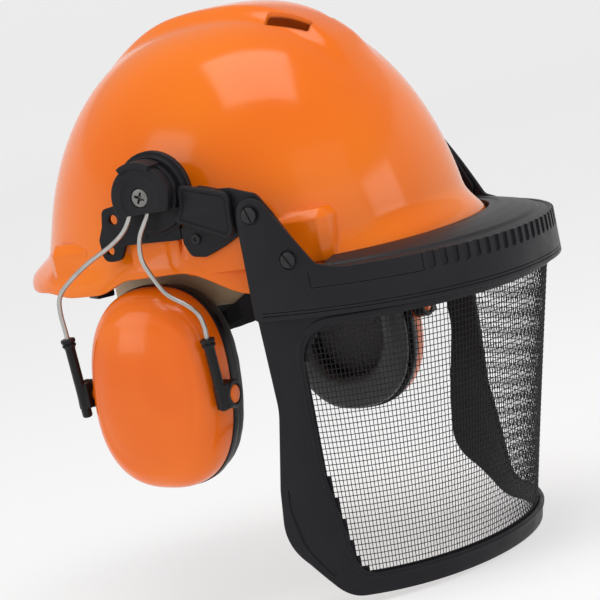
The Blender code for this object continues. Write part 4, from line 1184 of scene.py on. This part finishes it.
def make_cup():
    rows = spread(0, 0.06, 5)[:-1] + spread(0.06, 1, 60)
    cup = grid_sheet("cup_r", cup_point, spread(0, 1, 129)[:-1], rows, -2.2, wrap=True)
    for y, inward in ((-24.0, 6.0), (73.2, -6.0)):
        start, end = tilt_axis_point(y), tilt_axis_point(y + inward * 1.7)
        cap = [(0, 4.4), (0.35, 5.0), (0.8, 5.2), ((end - start).length, 5.2)]
        join(cup, turned("trunnion", start, end - start, cap, 48))

    def hollow_point(u, v):
        return cup_point(u, v, shrink=2.6, back=2.0)

    bm = bmesh.new()
    lines = grid_of_verts(bm, hollow_point, spread(0, 1, 65)[:-1], spread(0, 1, 24))
    loft(bm, lines)
    bm.faces.new(lines[0])
    bmesh.ops.remove_doubles(bm, verts=bm.verts, dist=0.01)
    cut(cup, solid_from("hollow", bm))
    show_muff(cup, "cup_right", CUP_ORANGE, "cup_orange", "cup_shell_right", angle=32)


def make_cup_lining():
    outlines = [cup_outline(1, 0.5), cup_outline(0.62)]
    plate = side_plate("back_band_r", outlines, -(CUP_BASE - 0.4), -(CUSHION_BACK + 0.4), 0.8, 3)
    show_muff(plate, "cup_right", SMOOTH_BLACK, "black_plastic", "cup_plate_right")
    foam = side_plate("ear_foam_r", [cup_outline(0.85)], -98.3, -107.7, 1.6, 4)
    for piece in show_muff(foam, "cup_right", FOAM, "foam", "foam_liner_right"):
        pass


def make_cushion():
    """Ear cushion: a soft ring, crowned between its two seams, with fine puckers along the inner one."""
    middle, half = -(CUSHION_BACK + CUSHION_FACE) / 2, (CUSHION_BACK - CUSHION_FACE) / 2

    def skin(u, v):
        angle, turn = 2 * math.pi * u, 2 * math.pi * v
        out, deep = signed_power(math.cos(turn), 0.62), signed_power(math.sin(turn), 0.80)
        scale = 0.80 + 0.18 * out
        seam = math.exp(-(((turn - math.pi) / 0.5) ** 2))
        crease = noise.noise(Vector((math.cos(angle) * 9, math.sin(angle) * 9, v * 4)))
        pucker = 0.35 * seam * math.sin(angle * 46) + 0.25 * crease
        p, q = cup_oval(angle, CUP_HALF_WIDTH * scale + pucker, CUP_HALF_HEIGHT * scale + pucker)
        return cup_spot(p, q, middle + half * deep * (1 - 0.06 * abs(out)))

    bm = bmesh.new()
    lines = grid_of_verts(bm, skin, spread(0, 1, 193)[:-1], spread(0, 1, 49)[:-1])
    loft(bm, [lines[-1], *lines])
    cushion = solid_from("ear_ring_r", bm)
    for piece in show_muff(cushion, "cup_right", CUSHION_SKIN, "cushion_skin", "cushion_right", angle=80):
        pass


# ---- brow guard --------------------------------------------------------------------------------


GUARD_PLAN = Plan(GUARD_SIDE, GUARD_REACH, GUARD_REAR_Y, GUARD_POWER)
CRESCENT_PLAN = Plan(CRESCENT_SIDE, CRESCENT_REACH, 0.0, CRESCENT_POWER)


def guard_place(u, h, depth):
    """Point of the guard's wall at an arc length, a height above its lower edge, and a depth."""
    spot, outward = GUARD_PLAN.at(u)
    spot = spot - outward * (GUARD_WALL / 2 - depth)
    return (spot.x, spot.y, GUARD_BOTTOM + h + GUARD_SLOPE * (spot.y - GUARD_REAR_Y))


def guard_side_x(y):
    """Half the guard's width at y."""
    return abs(GUARD_PLAN.at(GUARD_PLAN.u_at_y(y))[0].x)


def guard_outline():
    """The guard's wall laid flat: a long strip with an ear at each end, which carries the arm's screws."""
    middle = GUARD_PLAN.total / 2

    def corner(y, z, radius):
        return (GUARD_PLAN.u_at_y(y), z - GUARD_BOTTOM - GUARD_SLOPE * (y - GUARD_REAR_Y), radius)

    ear = arc(-62, 40, 9.0, spread(math.radians(15), math.radians(155), 19))
    half = [
        (middle, 0, 0), (GUARD_PLAN.u_at_y(-51.6), 0, 3), corner(-52.6, 38, 0),
        *(corner(y, z, 0) for y, z in ear),
        corner(-79, 30, 0), corner(-92, 8.5, 5), corner(-104, 4.8, 4), (middle, GUARD_HEIGHT, 0),
    ]
    return both_sides(rounded(half)[:-1], GUARD_PLAN.total)


def crescent_point(u, v):
    """Guard's top: from its wall, v = 0, back to the shell, v = 1."""
    start, inner_start = GUARD_PLAN.u_at_y(CRESCENT_Y), CRESCENT_PLAN.u_at_y(CRESCENT_Y)
    outer_spot, outward = GUARD_PLAN.at(start + (GUARD_PLAN.total - 2 * start) * u)
    inner_spot, _ = CRESCENT_PLAN.at(inner_start + (CRESCENT_PLAN.total - 2 * inner_start) * u)
    outer_spot = outer_spot - outward * GUARD_WALL / 2
    spot = outer_spot.lerp(inner_spot, v)
    ridge_z = GUARD_BOTTOM + GUARD_HEIGHT - 0.4 + GUARD_SLOPE * (outer_spot.y - GUARD_REAR_Y)
    inner_z = 9.5 - 1.0 * smoothstep(-60, -140, spot.y)
    z = ridge_z + (inner_z - ridge_z) * math.sin(v * math.pi / 2)
    z += 0.8 * smoothstep(0.20, 0.24, v) - 0.8 * smoothstep(0.78, 0.82, v)
    return (spot.x, spot.y, z)


def make_brow_guard():
    columns = spread(0, GUARD_PLAN.total, 200)[1:-1]
    rows = (3.0, 6.0, 14.0, 20.0, 24.0)
    guard = bent_plate("guard", [guard_outline()], GUARD_WALL, guard_place, columns, rows, 0.5)
    top = grid_sheet("guard_top", crescent_point, spread(0, 1, 181), spread(0, 1, 41), -1.8)
    bevel(top, 0.4, 2, 50)
    for side in (-1, 1):
        for y, z in GUARD_SCREWS:
            skin = guard_side_x(y)
            cut(
                guard,
                cross_rod("bore", side * 100, side * 125, y, z, 2.4, 24),
                cross_rod("seat", side * (skin - 0.5), side * (skin + 9), y, z, 5.3, 40),
            )
    cut_guard_grips(guard)
    show(guard, "visor", GUARD_BLACK, "frame_plastic", "brow_guard")
    show(top, "visor", CRESCENT, "frame_plastic")


def skin_cutter(outline, depth, columns=()):
    """Cutter that presses a flat outline into the guard's skin, bent to it at the columns."""

    def place(u, h, thickness):
        return guard_place(u, h, GUARD_WALL / 2 + CUTTER_THICKNESS / 2 - depth + thickness)

    return bend("cutter", outline_mesh([outline], CUTTER_THICKNESS), place, columns)


def grip_cutter(u):
    """Upright slot with a round bottom at arc length u."""
    half, low, high = GRIP_WIDTH / 2, GUARD_HEIGHT - 8.8, GUARD_HEIGHT + 3
    outline = [(u - half, high), (u - half, low + half)]
    outline += arc(u, low + half, half, spread(math.pi, 2 * math.pi, 9)[1:-1])
    outline += [(u + half, low + half), (u + half, high)]
    return skin_cutter(outline, 1.15)


def groove(left, right, low, high, depth):
    """Cutter for a shallow line in the guard's skin."""
    count = max(2, int((right - left) / 2.0))
    outline = [(left, low), (right, low), (right, high), (left, high)]
    return skin_cutter(outline, depth, spread(left, right, count)[1:-1])


def cut_guard_grips(guard):
    """Cuts the grips, the two lines along the lower edge, and a blank panel's border at each end of them."""
    middle = GUARD_PLAN.total / 2
    first, *others = (
        grip_cutter(middle + (step - (GRIP_COUNT - 1) / 2) * GRIP_PITCH) for step in range(GRIP_COUNT)
    )
    cut(guard, merge(first, *others))
    for low, high in ((2.3, 2.9), (4.1, 4.6)):
        cut(guard, groove(6, GUARD_PLAN.total - 6, low, high, 0.8))
    base = GUARD_HEIGHT - PANEL_HEIGHT
    for edge in (-1, 1):
        near, far = middle + edge * PANEL_START, middle + edge * (PANEL_START + PANEL_WIDTH)
        cut(guard, groove(*sorted((near, far)), base - 0.5, base, 0.7))
        for u in (near, far):
            cut(guard, groove(u - 0.25, u + 0.25, base - 0.2, GUARD_HEIGHT - 0.3, 0.7))


def make_visor_arm():
    outline = rounded([
        (-25.5, 50, 7), (-29, 39, 6), (-44, 36, 4), (-54, 34, 3), (-71, 8, 5), (-82, 6, 6), (-87.5, 13, 6),
        (-74, 38, 6), (-66, 50.5, 7), (-50, 56, 6), (-32, 57, 7),
    ])
    eye = ring(PIVOT_Y, PIVOT_Z, 3.8, 32)
    outlines = [[(GUARD_PLAN.u_at_y(y), z) for y, z in path] for path in (outline, eye)]
    columns = [GUARD_PLAN.u_at_y(y) for y in spread(-56, -86, 20)]

    def place(u, h, depth):
        spot, outward = GUARD_PLAN.at(u)
        spot = spot - outward * (GUARD_WALL + 0.4 + ARM_WALL / 2 - depth)
        return (spot.x, spot.y, h)

    arm = bent_plate("swing_arm_r", outlines, ARM_WALL, place, columns, (), 0.4)
    for y, z in GUARD_SCREWS:
        cut(arm, cross_rod("bore", -100, -125, y, z, 2.4, 24))
    show_both(arm, "visor", FRAME_BLACK, "frame_plastic", "visor_arm_right")


def make_guard_screws():
    head = [(0, 2.0), (7.2, 2.0), (7.2, 4.1), (8.6, 4.3), (8.95, 4.1), (9.1, 3.7)]
    for name, slot_turn, (y, z) in zip(("upper", "lower"), (-18, -30), GUARD_SCREWS):
        skin = guard_side_x(y)
        screw = turned(f"slot_bolt_{name}_r", (-skin + 6.5, y, z), OUT, head, 48)
        place = (-skin - 2.2, y, z)
        cut(screw, tilted_box("slot", (-2.4, -0.6, -6), (0.6, 0.6, 6), place, slot_turn))
        show_both(screw, "visor", BLACK_STEEL, "black_screw", f"guard_screw_{name}_right", angle=30)


# ---- visor -------------------------------------------------------------------------------------


FRAME_INSET = GUARD_WALL + 0.8
FRAME_TOP_PLAN = Plan(GUARD_SIDE - FRAME_INSET, GUARD_REACH - FRAME_INSET, GUARD_REAR_Y, GUARD_POWER)
FRAME_LOW_PLAN = Plan(FRAME_LOW_SIDE, FRAME_LOW_REACH, GUARD_REAR_Y, 2.0)


def frame_point(u, z, inset):
    """Point of the visor's curved surface at the top plan's arc length u and at z, an inset inside it."""
    share = (z - FRAME_TOP) / (FRAME_BOTTOM - FRAME_TOP)
    top, low = FRAME_TOP_PLAN, FRAME_LOW_PLAN
    if u < 0:
        low_u = u
    elif u > top.total:
        low_u = low.total + (u - top.total)
    else:
        low_u = u * low.total / top.total
    top_spot, top_out = top.at(u)
    low_spot, low_out = low.at(low_u)
    outward = (top_out * (1 - share) + low_out * share).normalized()
    spot = top_spot.lerp(low_spot, share) - outward * inset
    droop = 0.045 * (spot.y - GUARD_REAR_Y) * (0.6 + share)
    return Vector((spot.x, spot.y, z + droop))


def visor_opening(shrink=0.0):
    middle = FRAME_TOP_PLAN.total / 2
    low, high = FRAME_BOTTOM + 12 + shrink, FRAME_TOP - 10.5 - shrink
    half = [
        (middle, low, 0), (34 + shrink, low, 14), (22 + shrink, FRAME_BOTTOM + 70, 30),
        (22 + shrink, high, 26), (middle, high, 0),
    ]
    return both_sides(rounded(half, 10)[1:-1], FRAME_TOP_PLAN.total)


def make_visor_frame():
    total = FRAME_TOP_PLAN.total
    outer = [
        (total / 2, FRAME_BOTTOM, 0), (24, FRAME_BOTTOM, 30), (-13, FRAME_BOTTOM + 30, 26),
        (-9, FRAME_BOTTOM + 62, 40), (1, FRAME_TOP - 55, 40), (0, FRAME_TOP, 3), (total / 2, FRAME_TOP, 0),
    ]
    outlines = [both_sides(rounded(outer, 10)[1:-1], total), visor_opening()]
    columns = spread(-12, total + 12, 190)
    rows = spread(FRAME_BOTTOM + 4, FRAME_TOP - 4, 40)

    def wall(u, h, depth):
        return frame_point(u, h, FRAME_WALL / 2 - depth)

    def raised(u, h, depth):
        return frame_point(u, h, -0.25 - depth)

    def pocket(u, h, depth):
        return frame_point(u, h, -3.0 + 0.7 - depth)

    surround = bent_plate("visor_surround", outlines, FRAME_WALL, wall, columns, rows, 0.5)
    lip = bent_plate("lip", [visor_opening(-3.4), visor_opening(-1.6)], 0.9, raised, columns, rows, 0.25)
    merge(surround, lip)
    scoop = rounded([
        (-4, -112, 0), (3.5, -128, 18), (18.5, -160.5, 5), (15.5, -163, 4), (-1, -146, 20), (-5.5, -124, 10),
    ])
    mirrored = [(total - u, h) for u, h in reversed(scoop)]
    for path, ends in ((scoop, (-8, 24)), (mirrored, (total - 24, total + 8))):
        cut(surround, bent_plate("scoop", [path], 6.0, pocket, spread(*ends, 17), spread(-162, -114, 12)))
    show(surround, "visor", FRAME_BLACK, "frame_plastic", "visor_frame")


def make_visor_mesh():
    """Woven wires: uprights and cross wires pass over and under each other, in a moulded stepped border."""
    left, right = 17.5, FRAME_TOP_PLAN.total - 17.5
    low, high = FRAME_BOTTOM + 6.5, FRAME_TOP - 8.5
    us = spread(left, right, round((right - left) / UPRIGHT_PITCH) + 1)
    zs = spread(low, high, round((high - low) / CROSS_WIRE_PITCH) + 1)

    def crossing(i, j, sign):
        over = WEAVE_LIFT if (i + j) % 2 else -WEAVE_LIFT
        return frame_point(us[i], zs[j], FRAME_WALL + 0.8 + sign * over)

    def weave(name, paths, reference, *nodes):
        bm = bmesh.new()
        for path in paths:
            add_tube(bm, path, MESH_WIRE_RADIUS, 4, reference)
        bmesh.ops.recalc_face_normals(bm, faces=bm.faces)
        show(object_from(name, bm), "visor", MESH_WIRE, "mesh_steel", *nodes, angle=120)

    columns, rows = range(len(us)), range(len(zs))
    uprights = [[crossing(i, j, 1) for j in rows] for i in columns]
    cross_wires = [[crossing(i, j, -1) for i in columns] for j in rows]
    weave("mesh_uprights", uprights, Vector((0.8, 0.6, 0.0)), "visor_mesh")
    weave("mesh_cross_wires", cross_wires, Vector((0.31, 0.17, 0.93)))
    make_mesh_border(us, zs)


def inside(outline, u, h):
    """Whether a point lies in an outline: a ray from it crosses the outline an odd number of times."""
    crossings = 0
    for (a, b), (c, d) in zip(outline, outline[1:] + outline[:1]):
        crossings += (b > h) != (d > h) and u < (c - a) * (h - b) / (d - b) + a
    return crossings % 2 == 1


def make_mesh_border(us, zs):
    """Moulded border: the mesh's cells that the frame's opening leaves out, as thick steps."""
    opening = visor_opening(1.2)
    cells = {
        (i, j)
        for i in range(len(us) - 1)
        for j in range(len(zs) - 1)
        if not inside(opening, (us[i] + us[i + 1]) / 2, (zs[j] + zs[j + 1]) / 2)
    }
    bm = bmesh.new()
    known = {}

    def corner(i, j, inset):
        key = (i, j, inset)
        if key not in known:
            known[key] = bm.verts.new(frame_point(us[i], zs[j], inset))
        return known[key]

    near, far = FRAME_WALL + 0.15, FRAME_WALL + 1.5
    neighbours = ((0, -1), (1, 0), (0, 1), (-1, 0))
    for i, j in cells:
        square = [(i, j), (i + 1, j), (i + 1, j + 1), (i, j + 1)]
        bm.faces.new([corner(a, b, near) for a, b in square])
        bm.faces.new([corner(a, b, far) for a, b in square][::-1])
        for (a, b), (c, d), (step_i, step_j) in zip(square, square[1:] + square[:1], neighbours):
            if (i + step_i, j + step_j) not in cells:
                bm.faces.new((corner(a, b, near), corner(c, d, near), corner(c, d, far), corner(a, b, far)))
    show(solid_from("mesh_border", bm), "visor", FRAME_BLACK, "frame_plastic", angle=40)


def make_visor_clips():
    u, z = 30, -17.5
    spot = frame_point(u, z, 0)
    outward = FRAME_TOP_PLAN.at(u)[1].to_3d()
    profile = [(0, 2.9), (0.5, 3.4), (3.9, 3.4), (4.4, 2.9)]
    clip = turned("frame_stud_r", spot - outward * 7.4, outward, profile, 32)
    show_both(clip, "visor", SCREW_STEEL, "screw_steel", "visor_clip_right")


# ---- assembly ----------------------------------------------------------------------------------


def main():
    add_camera()
    add_studio()
    add_floor()
    make_shell()
    make_headband()
    make_sweatband()
    make_nape_band()
    make_nape_adjuster()
    make_crown_straps()
    make_strap_keys()
    make_muff_base()
    make_visor_bracket()
    make_visor_cover()
    make_hub()
    make_hub_screw()
    make_wires()
    make_sleeve("rear", REAR_SLEEVE_TOP, 46, 65.4, 73.0)
    make_sleeve("front", FRONT_SLEEVE_TOP, 41, -23.9, -16.3)
    make_cup()
    make_cup_lining()
    make_cushion()
    make_brow_guard()
    make_visor_arm()
    make_guard_screws()
    make_visor_frame()
    make_visor_mesh()
    make_visor_clips()


main()
